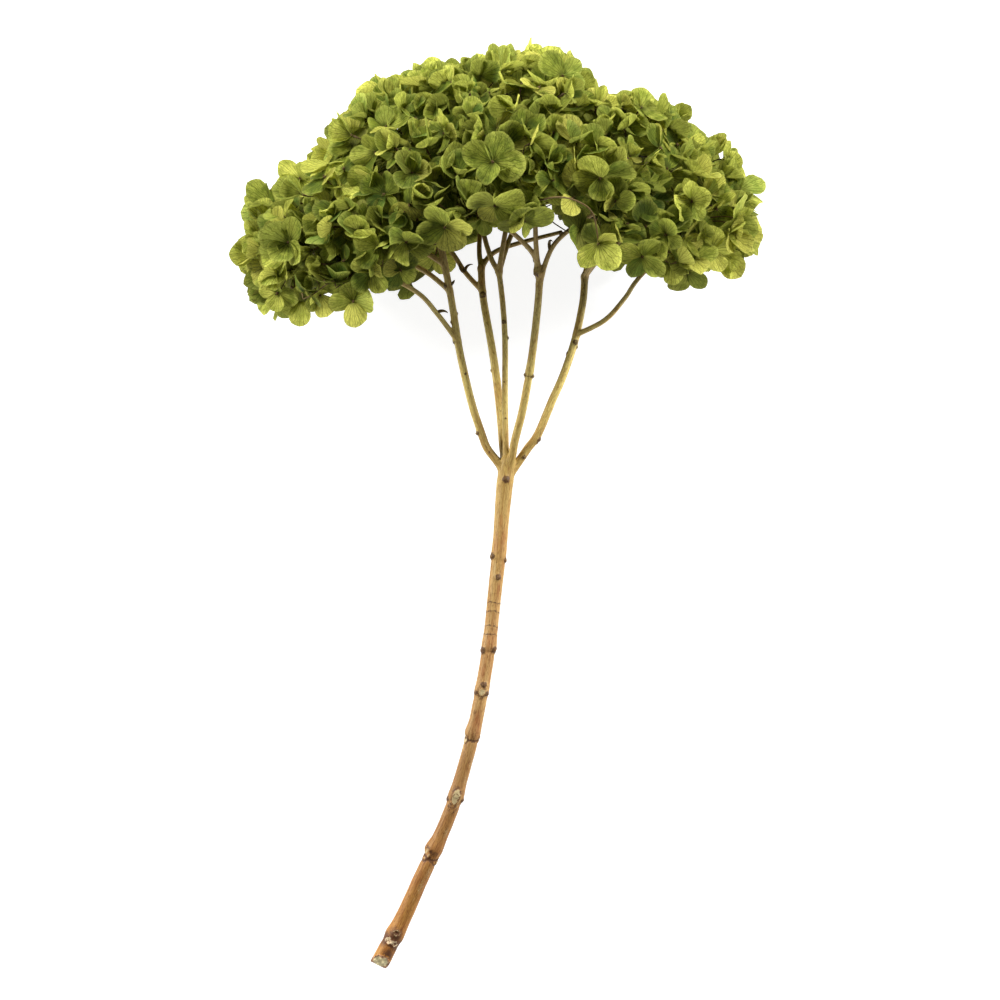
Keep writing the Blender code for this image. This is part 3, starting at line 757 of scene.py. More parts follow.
def shaped(floret, draws):
    """A floret's place in the relief of its cluster, inside the head's outline and above its hem."""
    outward = unit(floret["hub"] - placed(HEAD_CENTRE))
    from_hub = floret["place"] - floret["hub"]
    off = from_hub - outward * (from_hub @ outward)
    u, v, w = in_plant(floret["place"] - outward * RELIEF * min(off @ off, RELIEF_END))
    across, up = u - HEAD_CENTRE[0], v - HEAD_CENTRE[1]
    reach = math.hypot(across, up)
    limit = head_edge(across, up) + draws.uniform(-4, 3)
    if reach > limit:
        across, up = (part * (limit + 0.15 * (reach - limit)) / reach for part in (across, up))
    hem = hem_at(u, w)
    v = HEAD_CENTRE[1] + up
    if v < hem:
        v = hem + 0.25 * (v - hem)
    return placed((HEAD_CENTRE[0] + across, v, w))


def painted_light_by_place(place):
    """Painted light and shade for a floret's place: paler towards the head's outline, as the camera sees it,
    and darker towards its middle.
    """
    across, up, _ = in_plant(place) - HEAD_CENTRE
    return PAINTED_OUTLINE_LIGHT * min(math.hypot(across, up) / head_edge(across, up), 1) ** 2 - PAINTED_MIDDLE_SHADE


def pairs_between(florets, deepest, shallowest, draws):
    """Places between neighbouring florets, and the way out there, in a drawn order."""
    found = []
    for k, a in enumerate(florets):
        for b in florets[k + 1:]:
            if np.linalg.norm(a["place"] - b["place"]) < NEIGHBOUR:
                outward = unit(unit(a["place"] - a["hub"]) + unit(b["place"] - b["hub"]))
                share = draws.uniform(0.3, 0.7)
                place = a["place"] * share + b["place"] * (1 - share) + spread(1.5, draws)
                found.append((place - outward * draws.uniform(shallowest, deepest), outward))
    draws.shuffle(found)
    return found


def fill_gaps(florets, hubs, draws):
    """More florets, each between two of the CAD's, some of them deep in the head."""
    fillers = []
    taken = [floret["place"] for floret in florets]
    for count, (shallowest, deepest), tone, grid in FILLERS:
        wanted = len(fillers) + count
        for place, outward in pairs_between(florets, deepest, shallowest, draws):
            if len(fillers) == wanted:
                break
            if min(np.linalg.norm(place - other) for other in taken) < FILLER_SPACING:
                continue
            taken.append(place)
            filler = new_floret(place, outward, hubs, tone=tone, grid=grid)
            filler["facing"] = unit(outward + unit(place - filler["hub"]) + 0.8 * spread(1, draws))
            fillers.append(filler)
    return fillers


def even_ways(count):
    """Directions spread evenly all round."""
    k = np.arange(count) + 0.5
    height = 1 - 2 * k / count
    turn = math.pi * (1 + math.sqrt(5)) * k
    flat = np.sqrt(1 - height * height)
    return np.stack([flat * np.cos(turn), flat * np.sin(turn), height], -1)


def sight(florets):
    """The florets' sepals as a tree for lines of sight."""
    points, faces, count = [], [], 0
    for floret in florets:
        for place, triangles, quads, _ in floret["sepals"]:
            points.append(place)
            faces += (triangles + count).tolist() + (quads + count).tolist()
            count += len(place)
    return BVHTree.FromPolygons(np.vstack(points).tolist(), faces)


def cover(place, way, hubs, draws, **traits):
    """A coarse floret that closes a hole, facing the way that is given in the plant's axes."""
    facing = unit(AXES @ way + 0.4 * spread(1, draws))
    return new_floret(placed(place), facing, hubs, first=spread(1, draws), grid="deep", **traits)


def cover_holes(florets, hubs, eye, draws):
    """Florets below the others, wherever one could see out from an eye in the head between their sepals."""
    tree = sight(florets)
    middles = in_plant([floret["place"] for floret in florets]) - eye
    covers, closed = [], np.zeros((0, 3))
    for way in even_ways(COVER_WAYS):
        along = middles @ way
        off = np.linalg.norm(middles - along[:, None] * way, axis=1)
        off = np.where(along > COVER_START, off, np.inf)
        nearest = np.argsort(off)[:4]
        depth = along[nearest].mean()
        u, v, w = eye + way * depth
        if off[nearest[3]] > NEIGHBOUR or v < hem_at(u, w) + COVER_HEM:
            continue
        if len(closed) and np.linalg.norm(closed - way * depth, axis=1).min() < COVER:
            continue
        start = placed(eye + way * COVER_START)
        if tree.ray_cast(Vector(start), Vector(AXES @ way))[0] is not None:
            continue
        closed = np.vstack([closed, way * depth])
        place = eye + way * (depth - draws.uniform(*COVER_DEPTH))
        # Darker, as painted shade of the inside of the head.
        covers.append(cover(place, way, hubs, draws, tone=-0.4, size=1.05))
    return covers


def through_dome(start, way):
    """Where a line that isn't near the dome's rim leaves and enters it: the end that is ahead comes first."""
    ahead = way / FRONT_RADII
    offset = (start - HEAD_CENTRE) / FRONT_RADII
    along = offset @ ahead / (ahead @ ahead)
    nearest = offset @ offset - along * along * (ahead @ ahead)
    if nearest > VIEW_REACH ** 2:
        return []
    half = math.sqrt((1 - nearest) / (ahead @ ahead))
    return [start - way * (along - half), start - way * (along + half)]


def in_outline(place):
    """Whether a place is above the head's hem and within its outline."""
    u, v, w = place
    across, up = u - HEAD_CENTRE[0], v - HEAD_CENTRE[1]
    return v > hem_at(u, w) + COVER_HEM and math.hypot(across, up) < head_edge(across, up) + VIEW_BEYOND


def eyes_outside():
    """Places that the plant is seen from, in its own axes: the camera's, and others round it."""
    eyes = [np.array(PICTURE_CENTRE) + (0, 0, CAMERA_AWAY)]
    middle = np.mean([list(corner) for corner in cad_bounds], axis=0) / MM
    for turn, rise in VIEWS:
        turn, rise = math.radians(turn), math.radians(rise)
        way = np.array([math.sin(turn) * math.cos(rise), -math.cos(turn) * math.cos(rise), math.sin(rise)])
        eyes.append(in_plant(middle + VIEW_DISTANCE * way))
    return eyes


def cover_view(florets, hubs, eye, draws):
    """Florets just inside the dome, wherever one could see right through the head from an eye outside it."""
    tree = sight(florets)
    ahead = unit(eye - HEAD_CENTRE)
    side = unit(np.cross(ahead, (0.1, 0.2, 1)))
    up = np.cross(side, ahead)
    covers, closed = [], []
    steps = np.arange(-VIEW_HALF, VIEW_HALF, VIEW_STEP)
    for a, b in itertools.product(steps, steps):
        if any(math.hypot(a - c, b - d) < COVER for c, d in closed):
            continue
        target = HEAD_CENTRE + a * side + b * up
        way = unit(eye - target)
        ends = zip(through_dome(target, way), (-way, way))
        ends = [(end, inward) for end, inward in ends if in_outline(end)]
        if not ends:
            continue
        if tree.ray_cast(Vector(placed(target + way * VIEW_START)), Vector(AXES @ -way))[0] is not None:
            continue
        closed.append((a, b))
        end, inward = ends[0]
        # Darker, as painted shade just inside the dome.
        covers.append(cover(end + VIEW_DEPTH * inward, way, hubs, draws, tone=-0.3, size=1.0))
    return covers


def hem_florets(hubs, draws):
    """Rows of florets along the head's front lower edge, which hide the forks behind them."""
    wide, tall, deep = FRONT_RADII
    florets = []
    for row, u in itertools.product(HEM_ROWS, np.arange(HEM_START, HEM_END, HEM_SPACING)):
        u = u + draws.uniform(-4, 4) + row * 0.4
        v = hem_at(u, 1) + row + draws.uniform(-1, 4)
        up = v - HEAD_CENTRE[1]
        round_off = (u - HEAD_CENTRE[0]) ** 2 / wide ** 2 + up ** 2 / tall ** 2
        if round_off > 0.95:
            continue
        w = deep * math.sqrt(1 - round_off)
        outward = unit(np.array([u / wide, up / tall - 0.45, w / deep]))
        place = placed((u, v, w - draws.uniform(0, 8)))
        facing = unit(AXES @ outward + 0.6 * spread(1, draws))
        # The lowest row is painted paler, as a painted glow of light from behind.
        florets.append(new_floret(place, facing, hubs, tone=0.5 if row == 0 else 0))
    return florets


def posed_florets(hubs):
    """The florets that stand out in front."""
    posed = []
    for place, facing, first, size, tone, which in POSED:
        facing, first = AXES @ np.array(facing, float), AXES @ np.array(first, float)
        posed.append(new_floret(placed(place), unit(facing), hubs, first=first, size=size, tone=tone,
                                which=which))
    return posed


def hidden_by(floret, posed):
    """Whether a floret is too near one of the posed ones, or between it and the camera."""
    for other in posed:
        gap = in_plant(floret["place"]) - in_plant(other["place"])
        before = abs(gap[2]) < POSED_DEPTH and gap[2] * other["facing"][2] > 0
        if np.linalg.norm(gap) < POSED_CLEAR or (before and np.hypot(gap[0], gap[1]) < POSED_CLEAR):
            return True
    return False


def sepal_template(rings, spokes):
    """How a sepal's points lie in its fan, from 0 to 1 outwards and -1 to 1 across, and its faces."""
    out = np.arange(1, rings + 1) / rings
    across = np.sin(np.linspace(-1, 1, spokes + 1) * math.radians(SPOKE_SINE))
    grid = np.stack(np.meshgrid(out, across, indexing="ij"), -1).reshape(-1, 2)
    width = spokes + 1
    spoke = np.arange(spokes)
    triangles = np.stack([np.zeros(spokes, int), spoke + 1, spoke + 2], -1)
    first = (1 + np.arange(rings - 1)[:, None] * width + spoke).ravel()
    quads = np.stack([first, first + width, first + width + 1, first + 1], -1)
    return np.vstack([[0.0, 0.0], grid]), triangles, quads


SEPAL_TEMPLATES = {name: sepal_template(*counts) for name, counts in SEPAL_GRIDS.items()}


def sepal(fan, habit, draws):
    """One sepal about its own base: x outwards, y across, z to the floret's front. Also its flat shape."""
    out, across = fan.T
    length = draws.uniform(*SEPAL_LENGTH) * habit["size"]
    half_angle = math.radians(draws.uniform(*SEPAL_SPREAD))
    bulk = draws.uniform(2.0, 3.0)
    reach = (1 - np.abs(across) ** bulk) ** draws.uniform(0.46, 0.58)
    reach *= 1 + draws.uniform(0.0, 0.09) * bell(across / 0.2)
    lopsided = draws.uniform(-0.07, 0.07)
    x = out * reach * length * np.cos(across * half_angle) * (1 + lopsided * across)
    y = out * reach * length * np.sin(across * half_angle)
    flat = np.stack([x, y], -1)

    margin = out * out
    phase = [draws.uniform(0, 2 * math.pi) for _ in range(5)]
    wave = habit["ruffle"] * draws.uniform(0.4, 1.4)
    lift = wave * margin * np.sin(across * draws.uniform(3, 6) + phase[0])
    lift += 0.5 * wave * margin * np.sin(across * draws.uniform(8, 13) + phase[1])
    lift += 0.2 * np.sin(x / 1.9 + phase[2]) * np.sin(y / 1.7 + phase[3]) * out
    lift += 0.12 * np.cos(across * 16 + phase[4]) * out
    lift += draws.gauss(0.15, 0.55) * step_up(out, 0.55, 1.05)
    lift += draws.gauss(0.0, 0.12) * np.abs(y)

    fold = draws.gauss(habit["fold"], 0.35)
    if draws.random() < SHARP_FOLDS:
        fold = draws.choice([-1, 1]) * draws.uniform(*SHARP_FOLD)
    bend = fold * 2 / length * (1.25 - 0.5 * out)
    bend = np.where(np.abs(bend) < 1e-3, 1e-3, bend)
    sideways = np.sin(bend * y) / bend
    lift = lift + (1 - np.cos(bend * y)) / bend

    hinge = math.radians(draws.gauss(habit["hinge"], 13))
    curl = draws.gauss(habit["curl"], 0.4) / length
    if abs(curl) < 1e-4:
        curl = 1e-4
    pitch = hinge + curl * x
    forward = (np.sin(pitch) - math.sin(hinge)) / curl - lift * np.sin(pitch)
    upward = (math.cos(hinge) - np.cos(pitch)) / curl + lift * np.cos(pitch)
    twist = draws.gauss(0, 0.25)
    points = np.stack([
        forward - SEPAL_BASE,
        sideways * math.cos(twist) - upward * math.sin(twist),
        sideways * math.sin(twist) + upward * math.cos(twist),
    ], -1)
    return points, flat


def floret_habit(draws):
    """How a floret holds its sepals: open, cupped, nearly closed or bent back."""
    kind = draws.random()
    habit = dict(next(habit for share, habit in HABITS if kind < share))
    habit["size"] = draws.choice(FLORET_SIZES)
    habit["ruffle"] = draws.uniform(*RUFFLE)
    return habit


def above_floor(points):
    """Points eased up so that none goes through the surface that the head lies on."""
    points = points.copy()
    z = points[:, 2] / FLOOR_SOFTNESS
    points[:, 2] = np.where(z < 12, FLOOR_SOFTNESS * np.log1p(np.exp(np.minimum(z, 12))), points[:, 2])
    return points


def turn_to(facing, first):
    """A turn whose z axis is the facing, and whose x axis leans towards first."""
    first = unit(first - facing * (first @ facing))
    return np.stack([first, np.cross(facing, first), facing], -1)


def spun(angle):
    cosine, sine = math.cos(angle), math.sin(angle)
    return np.array([[cosine, -sine, 0], [sine, cosine, 0], [0, 0, 1]])


def grow_sepals(floret, tone, draws):
    """Give a floret its four sepals, in two crossed pairs of which one lies in front of the other."""
    habit = floret_habit(draws)
    first = spread(1, draws)
    if "first" in floret:
        first = floret["first"]
        habit.update(POSED_HABIT, size=floret["size"])
    turn = turn_to(floret["facing"], first)
    side = "far" if in_plant(floret["place"])[2] < FAR_SIDE else "near"
    grid, triangles, quads = SEPAL_TEMPLATES[floret.get("grid") or side]
    floret["sepals"] = []
    sizes, paler = STANDING_OUT[floret.get("which", "all")]
    # Painted light and shade by place is added to the sepals' tone here.
    size, tone = habit["size"], tone + floret.get("tone", 0) + painted_light_by_place(floret["place"])
    for k in range(4):
        habit["size"] = size * sizes[k]
        points, flat = sepal(grid, habit, draws)
        points[:, 2] += PAIR_LIFT[k % 2]
        points = points @ spun(k * math.pi / 2 + draws.gauss(0, 0.13)).T
        points = above_floor(floret["place"] + points @ turn.T)
        count = len(points)
        fan = np.column_stack([grid[:, 1], grid[:, 0], np.full(count, draws.uniform(0, 90))])
        shade = min(max(tone + paler[k] + draws.gauss(0, 0.3), -1), 1)
        fields = {"fan": fan, "flat": np.column_stack([flat, np.full(count, draws.uniform(0, 90))]),
                  "tone": np.full(count, shade), "age": np.full(count, draws.random())}
        floret["sepals"].append((points, triangles, quads, fields))


def bowed(start, end, lead_in, lead_out, steps):
    """A curve between two points, which sets off and arrives along two directions."""
    t = np.linspace(0, 1, steps)[:, None]
    far = np.linalg.norm(end - start)
    return ((2 * t ** 3 - 3 * t ** 2 + 1) * start + (t ** 3 - 2 * t ** 2 + t) * lead_in * far
            + (3 * t ** 2 - 2 * t ** 3) * end + (t ** 3 - t ** 2) * lead_out * far)


def add_stalk(form, route, radii, sides):
    """A thin stalk along a route, with its radii by the share of the way along."""
    share = np.linspace(0, 1, len(route))
    points, triangles, quads = tube(route, np.interp(share, *zip(*radii)), sides)
    walk = np.concatenate([np.repeat(share * len(route) * ROUTE_STEP, sides), [0, 0]])
    around = np.concatenate([np.tile(np.arange(sides), len(route)), [0, 0]]) * 2 * math.pi / sides
    radius = radii[0][1]
    grain = np.column_stack([radius * np.cos(around), radius * np.sin(around), walk])
    form.add(above_floor(points), triangles, quads, grain=grain, height=in_plant(points)[:, 1],
             marks=np.zeros((len(points), 3)))


def add_bead(form, middle, radius, draws):
    """A small lumpy dried bud."""
    ball = bmesh.new()
    bmesh.ops.create_icosphere(ball, subdivisions=1, radius=radius)
    points = np.array([vertex.co[:] for vertex in ball.verts])
    faces = np.array([[vertex.index for vertex in face.verts] for face in ball.faces])
    ball.free()
    points *= np.array([draws.uniform(0.75, 1.2) for _ in range(len(points))])[:, None]
    form.add(above_floor(points + middle), faces, np.zeros((0, 4), int), grain=points * 2,
             height=np.full(len(points), 130.0), marks=np.zeros((len(points), 3)))


def cluster_pieces(node, florets, foot, looks, draws):
    """One flower cluster: a piece of sepals, and one of its stalks and its florets' dried middles."""
    sepals, stalks = Form(), Form()
    hub = florets[0]["hub"]
    axis = unit(hub - foot)
    route = bowed(foot, hub, axis + 0.25 * spread(1, draws), axis, PEDUNCLE_STEPS)
    add_stalk(stalks, route, [(0, PEDUNCLE_RADII[0]), (0.8, PEDUNCLE_RADII[1]), (1, 0.9)], 8)
    for floret in florets:
        for points, triangles, quads, fields in floret["sepals"]:
            sepals.add(points, triangles, quads, **fields)
        place, facing = floret["place"], floret["facing"]
        behind = place - 0.6 * facing
        route = bowed(hub, behind, unit(unit(behind - hub) + 0.5 * axis), facing * 0.9, PEDICEL_STEPS)
        add_stalk(stalks, route, [(0, PEDICEL_RADII[0]), (0.85, PEDICEL_RADII[1]), (1, 0.6)], 6)
        if floret.get("grid") == "deep":
            continue
        add_bead(stalks, place + 0.5 * facing, BEAD_RADII[0], draws)
        for _ in range(BUDS):
            add_bead(stalks, place + 0.9 * facing + spread(0.7, draws), BEAD_RADII[1], draws)
    show(f"{node}_sepals", sepals.mesh(f"{node}_sepals"), looks["sepal"], "sepal", node)
    show(f"{node}_stalks", stalks.mesh(f"{node}_stalks"), looks["twig"], "ray_bark", node)


def head(looks, limbs, draws):
    """The flower head: the CAD's florets, and more that fill it out, as two pieces for each cluster."""
    nodes = [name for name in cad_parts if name.startswith("cyme_")]
    florets = [floret for node in nodes for floret in cad_florets(node)]
    hubs = {floret["node"]: floret["hub"] for floret in florets}
    for floret in florets:
        floret["facing"] = unit(floret["facing"] + FACING_LEAN * spread(1, draws))
    florets += fill_gaps(florets, hubs, draws)
    for floret in florets:
        floret["place"] = shaped(floret, draws)
    florets += hem_florets(hubs, draws)
    posed = posed_florets(hubs)
    florets = [floret for floret in florets if not hidden_by(floret, posed)] + posed
    tones = {node: draws.uniform(*CLUSTER_TONES) for node in nodes}

    for floret in florets:
        grow_sepals(floret, tones[floret["node"]], draws)
    searches = [(cover_holes, eye) for eye in COVER_EYES] + [(cover_view, eye) for eye in eyes_outside()]
    for search, eye in searches:
        covers = search(florets, hubs, eye, draws)
        for floret in covers:
            grow_sepals(floret, tones[floret["node"]], draws)
        florets += covers

    for node in nodes:
        ray = "ray_" + node[len("cyme_"):-len("_00")]
        ends = [limb.route[-1] for limb in limbs if limb.piece == ray and not limb.is_ray]
        foot = min(ends, key=lambda end: np.linalg.norm(end - hubs[node]))
        cluster_pieces(node, [floret for floret in florets if floret["node"] == node], foot, looks, draws)


def extra_pieces(looks, limbs):
    """The dried bracts on the limbs, and the long bare stalk in front of the head."""
    form = Form()
    paths = np.vstack([limb.plant_route for limb in limbs])
    t = np.linspace(0, 1, 10)[:, None]
    for place, way, side, length in BRACTS:
        way, side = unit(np.array(way, float)), unit(np.array(side, float))
        base = paths[np.argmin(np.linalg.norm(paths - place, axis=1))]
        curve = way * np.sin(2.1 * t) / 2.1 + side * (1 - np.cos(2.1 * t)) / 2.1
        add_stalk(form, placed(base + length * curve), [(0, 0.9), (0.35, 0.85), (0.65, 0.6), (1, 0.12)], 8)
    route = placed(smooth_route(LONG_STALK, 2.0))
    add_stalk(form, route, [(0, 0.5), (1, 0.36)], 8)
    show("bracts", form.mesh("bracts"), looks["twig"], "ray_bark")


# ---------------------------------------------------------------- materials

def linear(*colour):
    """An sRGB colour of 0 to 255 as linear RGBA."""
    return (*[(c / 255 / 12.92) if c < 11 else ((c / 255 + 0.055) / 1.055) ** 2.4 for c in colour], 1)


class Graph:
    """A material's node tree, with short ways to add to it."""

    def __init__(self, name):
        self.material = bpy.data.materials.new(name)
        self.material.use_nodes = True
        self.tree = self.material.node_tree
        self.tree.nodes.clear()

    def add(self, kind, inputs=None, output=0, **settings):
        node = self.tree.nodes.new(kind)
        for name, value in settings.items():
            setattr(node, name, value)
        for name, value in (inputs or {}).items():
            if isinstance(value, bpy.types.NodeSocket):
                self.tree.links.new(value, node.inputs[name])
            else:
                node.inputs[name].default_value = value
        return node.outputs[output] if node.outputs else None

    def attribute(self, name, output="Vector"):
        return self.add("ShaderNodeAttribute", output=output, attribute_name=name)

    def math(self, operation, *values):
        return self.add("ShaderNodeMath", dict(enumerate(values)), operation=operation)

    def times(self, a, b):
        return self.math("MULTIPLY", a, b)

    def plus(self, a, b):
        return self.math("ADD", a, b)

    def split(self, vector):
        """The three parts of a vector."""
        node = self.tree.nodes.new("ShaderNodeSeparateXYZ")
        self.tree.links.new(vector, node.inputs[0])
        return node.outputs

    def ramp(self, value, low, high, to_low=0.0, to_high=1.0):
        """value eased from low to high, as to_low to to_high."""
        return self.add("ShaderNodeMapRange", {"Value": value, "From Min": low, "From Max": high,
                        "To Min": to_low, "To Max": to_high}, interpolation_type="SMOOTHSTEP")

    def mix(self, share, a, b, blend="MIX"):
        node = self.tree.nodes.new("ShaderNodeMix")
        node.data_type, node.blend_type = "RGBA", blend
        for socket, value in ((node.inputs[0], share), (node.inputs[6], a), (node.inputs[7], b)):
            if isinstance(value, bpy.types.NodeSocket):
                self.tree.links.new(value, socket)
            else:
                socket.default_value = value
        return node.outputs[2]

    def layered(self, colour, layers, blend="MIX"):
        """A colour with others over it: (value, low, high, their share there and there, colour) for each."""
        for value, low, high, to_low, to_high, layer in layers:
            colour = self.mix(self.ramp(value, low, high, to_low, to_high), colour, linear(*layer), blend)
        return colour

    def noise(self, where, scale, detail=3.0, roughness=0.55):
        return self.add("ShaderNodeTexNoise", {"Vector": where, "Scale": scale, "Detail": detail,
                        "Roughness": roughness})

    def scaled(self, where, scale):
        return self.add("ShaderNodeVectorMath", {0: where, 1: scale}, operation="MULTIPLY")

    def stops(self, value, stops):
        node = self.tree.nodes.new("ShaderNodeValToRGB")
        elements = node.color_ramp.elements
        while len(elements) < len(stops):
            elements.new(0.5)
        for element, (place, colour) in zip(elements, stops):
            element.position, element.color = place, colour
        self.tree.links.new(value, node.inputs[0])
        return node.outputs[0]

    def surface(self, colour, rough, others):
        return self.add("ShaderNodeBsdfPrincipled", {"Base Color": colour, "Roughness": rough, **others})

    def bump(self, height, strength):
        return self.add("ShaderNodeBump", {"Height": height, "Strength": strength, "Distance": BUMP_DEPTH})

    def finish(self, shader):
        self.add("ShaderNodeOutputMaterial", {"Surface": shader})
        return self.material


def sepal_material():
    """Dry green sepals that let light through, with dark veins that fan out: paler and darker by their tone
    and by painted light and shade, and painted shade towards each floret's middle.
    """
    g = Graph("sepal")
    flat, fan = g.attribute("flat"), g.attribute("fan")
    across, out, _ = g.split(fan)
    tone, age = g.attribute("tone", "Fac"), g.attribute("age", "Fac")

    wander = g.math("SUBTRACT", g.noise(flat, 0.32, 2.0, 0.6), 0.5)
    bent = g.plus(across, g.times(wander, 0.27))
    lines = []
    for count, width, start, strength in SEPAL_VEINS:
        place = g.math("PINGPONG", g.times(bent, count), 0.5)
        gap = g.times(g.times(place, g.plus(out, 0.12)), 14.0 / count)
        lines.append(g.times(g.ramp(gap, 0.0, 2 * width, strength, 0.0), g.ramp(out, start, start + 0.2)))
    cells = g.add("ShaderNodeTexVoronoi", {"Vector": g.scaled(fan, (6.5, 4.5, 1.0)), "Scale": 1.0,
                  "Randomness": 0.9}, feature="DISTANCE_TO_EDGE")
    net = g.times(g.ramp(cells, 0.0, 0.12, 0.45, 0.0), g.ramp(out, 0.3, 0.7))
    veins = g.math("MAXIMUM", g.math("MAXIMUM", *lines), net)

    mottle = g.noise(flat, 0.17, 3.0, 0.65)
    fine = g.noise(flat, 1.5, 2.0)
    light = g.mix(tone, linear(122, 136, 42), linear(220, 220, 102))
    deep = g.mix(tone, linear(64, 82, 18), linear(140, 150, 46))
    blotches = g.plus(g.times(mottle, 0.6), g.times(fine, 0.4))
    ground = g.layered(g.mix(g.ramp(mottle, 0.35, 0.65), deep, light), [
        (age, 0.74, 0.96, 0.0, 0.6, (204, 196, 92)),
        (age, 0.26, 0.02, 0.0, 0.6, (74, 108, 42)),
        (blotches, 0.56, 0.68, 0.0, 0.35, (112, 98, 32)),
        # Darker as the tone falls: painted shade of deep, covering and middle florets, and the clusters' own
        # darker tone.
        (tone, 0.15, -0.9, 0.0, 0.85, (44, 56, 10)),
        # Painted shade towards each floret's middle, where its sepals crowd.
        (out, 0.0, 0.48, 0.9, 0.0, (54, 60, 12)),
        (out, 0.8, 1.0, 0.0, 0.22, (206, 206, 104)),
    ])
    veined = g.times(veins, 0.7)
    colour = g.mix(veined, ground, linear(42, 44, 10))
    glow = g.layered(ground, [(tone, 0.5, 1.0, 0.4, 0.9, (232, 234, 110))])
    glow = g.mix(veined, glow, linear(72, 76, 12))
    bump = g.bump(g.plus(g.times(veins, -0.6), g.times(fine, 0.9)), 0.6)
    rough = g.ramp(fine, 0.3, 0.7, 0.58, 0.78)
    face = g.surface(colour, rough, {"Normal": bump, "Specular IOR Level": 0.1})
    through = g.add("ShaderNodeBsdfTranslucent", {"Color": glow, "Normal": bump})
    return g.finish(g.add("ShaderNodeMixShader", {0: THROUGH_SEPALS, 1: face, 2: through}))


def bark_material(name, twig):
    """Bark: tan on the stem, yellow-olive on the rays and made paler there with painted light against the
    head's shadow, dark brown in the head, with streaks along it.
    """
    g = Graph(name)
    grain = g.attribute("grain")
    pale, dark, red = g.split(g.attribute("marks"))
    wood = g.times(red, -0.5)
    low, high = BARK_COLOURS_AND_PAINTED_LIGHT[0][0] - 4.0, BARK_COLOURS_AND_PAINTED_LIGHT[-1][0] + 24.0
    place = g.ramp(g.attribute("height", "Fac"), low, high)
    place.node.interpolation_type = "LINEAR"
    # The ramp holds painted light on the rays, against the head's shadow.
    colour = g.stops(place, [((v - low) / (high - low), linear(*shade)) for v, shade in BARK_COLOURS_AND_PAINTED_LIGHT])

    streak = g.noise(g.scaled(grain, (1.6, 1.6, 0.05)), 1.0, 5.0, 0.65)
    fine = g.noise(g.scaled(grain, (2.3, 2.3, 0.42)), 1.0, 3.0)
    grit = g.noise(grain, 2.6, 2.0)
    patch = g.noise(g.scaled(grain, (0.3, 0.3, 0.07)), 1.0, 3.0)
    spots = g.add("ShaderNodeTexVoronoi", {"Vector": g.scaled(grain, (1.0, 1.0, 0.4)), "Scale": 0.8})
    colour = g.layered(colour, [
        (patch, 0.45, 0.72, 0.0, 0.4, (206, 154, 100)),
        (streak, 0.36, 0.7, 0.0, 0.55, (178, 138, 88)),
        (fine, 0.46, 0.68, 0.0, 0.6, (160, 122, 72)),
    ], "MULTIPLY")
    reddened = g.times(g.ramp(red, 0.05, 0.9), g.ramp(streak, 0.3, 0.6, 0.25, 0.8))
    colour = g.mix(reddened, colour, linear(222, 142, 110), "MULTIPLY")
    colour = g.layered(colour, [
        (patch, 0.36, 0.22, 0.0, 0.4, (226, 204, 146)),
        (spots, 0.2, 0.08, 0.0, 0.6, (96, 72, 38)),
    ])

    unevenness = g.times(g.math("SUBTRACT", grit, 0.5), 1.1)
    stained = g.times(g.ramp(g.plus(dark, unevenness), 0.2, 0.85), g.ramp(dark, 0.02, 0.2))
    colour = g.mix(g.times(stained, 0.86), colour, g.mix(fine, linear(52, 32, 20), linear(92, 56, 34)))
    bared = g.math("SUBTRACT", g.plus(pale, unevenness), g.times(stained, 0.5))
    bared = g.times(g.ramp(bared, 0.3, 0.8), g.ramp(pale, 0.02, 0.2))
    scar = g.mix(grit, linear(158, 126, 76), linear(222, 208, 160))
    torn = g.mix(grit, linear(196, 156, 112), linear(248, 232, 190))
    colour = g.mix(bared, colour, g.mix(g.ramp(red, 0.6, 0.9), scar, torn))
    pith = g.mix(g.noise(grain, 0.9, 3.0), linear(222, 198, 134), linear(252, 242, 196))
    colour = g.layered(colour, [(wood, 0.15, 0.4, 0.0, 1.0, (190, 140, 100))])
    colour = g.mix(g.ramp(wood, 0.55, 0.85), colour, pith)
    if twig:
        colour = g.mix(TWIG_DARKER, colour, linear(58, 44, 20))
    bump = g.bump(g.plus(g.times(streak, 0.6), g.plus(g.times(fine, 0.5), g.times(grit, 0.4))), 0.45)
    rough = g.ramp(streak, 0.3, 0.7, 0.5, 0.72)
    shine = 0.12 if twig else 0.3
    return g.finish(g.surface(colour, rough, {"Normal": bump, "Specular IOR Level": shine}))


def floor_material():
    """White enough that the softest shadow hardly shows on it."""
    g = Graph("floor")
    speckle = g.noise(g.add("ShaderNodeTexCoord", output="Object"), 60.0, 2.0)
    colour = g.mix(speckle, (0.32, 0.32, 0.32, 1), (0.34, 0.34, 0.34, 1))
    glow = {"Emission Color": (1, 1, 1, 1), "Emission Strength": 0.9}
    return g.finish(g.surface(colour, 0.9, glow))


# ---------------------------------------------------------------- studio

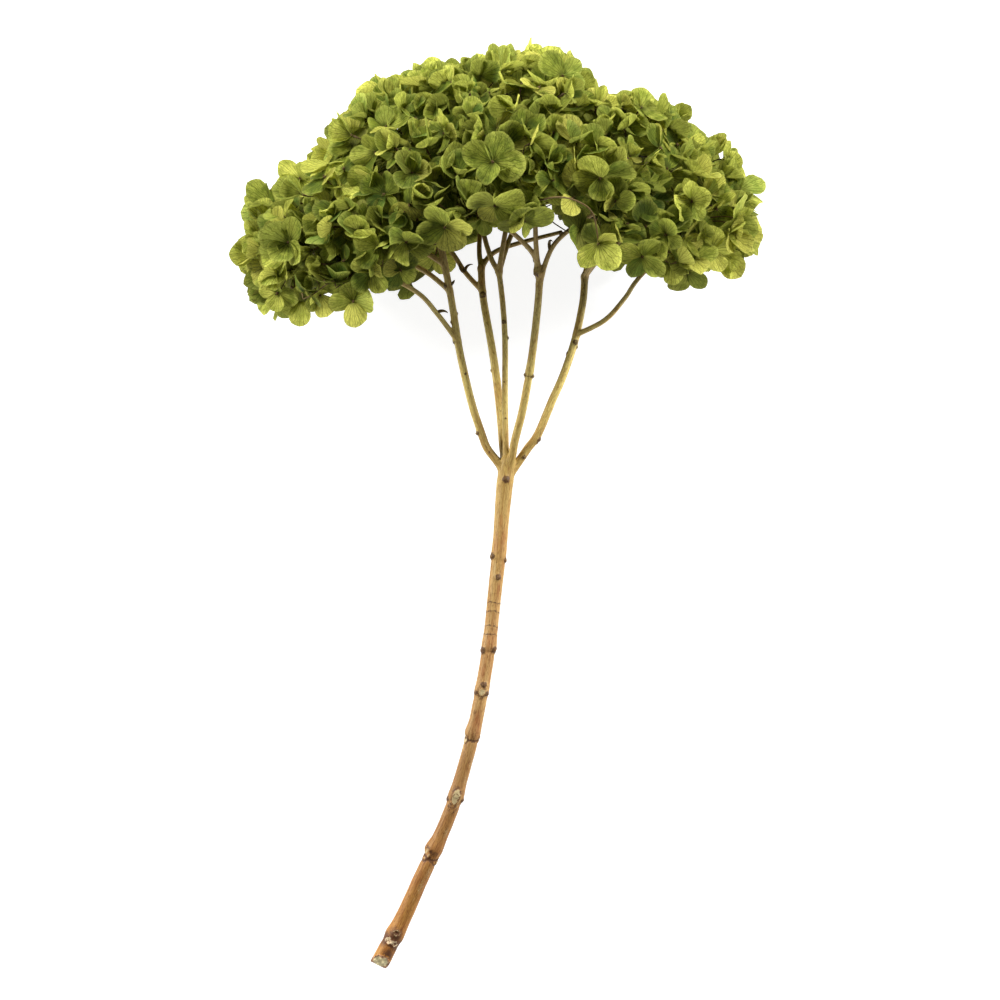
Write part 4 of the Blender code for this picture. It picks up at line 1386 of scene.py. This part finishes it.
def lamp(name, where, size, power):
    """A soft round lamp that faces the plant."""
    data = bpy.data.lights.new(name, "AREA")
    data.shape, data.size, data.energy = "DISK", size, power
    light = bpy.data.objects.new(name, data)
    light.location = where
    light.rotation_euler = (Vector(LAMPS_FACE) - Vector(where)).to_track_quat("-Z", "Y").to_euler()
    bpy.context.scene.collection.objects.link(light)


def backdrop(scene):
    """A white backdrop that lights the plant less than it shows."""
    world = bpy.data.worlds.new("studio")
    scene.world = world
    world.use_nodes = True
    background = world.node_tree.nodes["Background"]
    background.inputs["Color"].default_value = (1, 1, 1, 1)
    seen = world.node_tree.nodes.new("ShaderNodeLightPath")
    strength = world.node_tree.nodes.new("ShaderNodeMapRange")
    strength.inputs["To Min"].default_value = AMBIENT
    strength.inputs["To Max"].default_value = BACKDROP
    world.node_tree.links.new(seen.outputs["Is Camera Ray"], strength.inputs["Value"])
    world.node_tree.links.new(strength.outputs[0], background.inputs["Strength"])


def studio():
    scene = bpy.context.scene
    scene.view_settings.view_transform = "Standard"
    backdrop(scene)
    for name, (where, size, power) in LAMPS.items():
        lamp(name, where, size, power)

    mesh = bpy.data.meshes.new("floor")
    form = bmesh.new()
    bmesh.ops.create_grid(form, x_segments=8, y_segments=8, size=FLOOR_HALF)
    form.to_mesh(mesh)
    form.free()
    mesh.materials.append(floor_material())
    floor = bpy.data.objects.new("floor", mesh)
    floor.location.z = -FLOOR_DROP
    scene.collection.objects.link(floor)

    data = bpy.data.cameras.new("camera")
    data.lens, data.sensor_width = LENS, SENSOR
    camera = bpy.data.objects.new("camera", data)
    place = Vector(placed(PICTURE_CENTRE)) + Vector(AXES[:, 2]) * CAMERA_AWAY
    camera.matrix_world = Matrix.Translation(place * MM) @ Matrix(AXES).to_4x4()
    scene.collection.objects.link(camera)
    scene.camera = camera


def main():
    studio()
    draws = random.Random(SEED)
    looks = {
        "sepal": sepal_material(),
        "bark": bark_material("bark", twig=False),
        "twig": bark_material("twig", twig=True),
    }
    limbs = make_limbs()
    limb_pieces(limbs, looks["bark"], draws)
    head(looks, limbs, draws)
    extra_pieces(looks, limbs)


main()
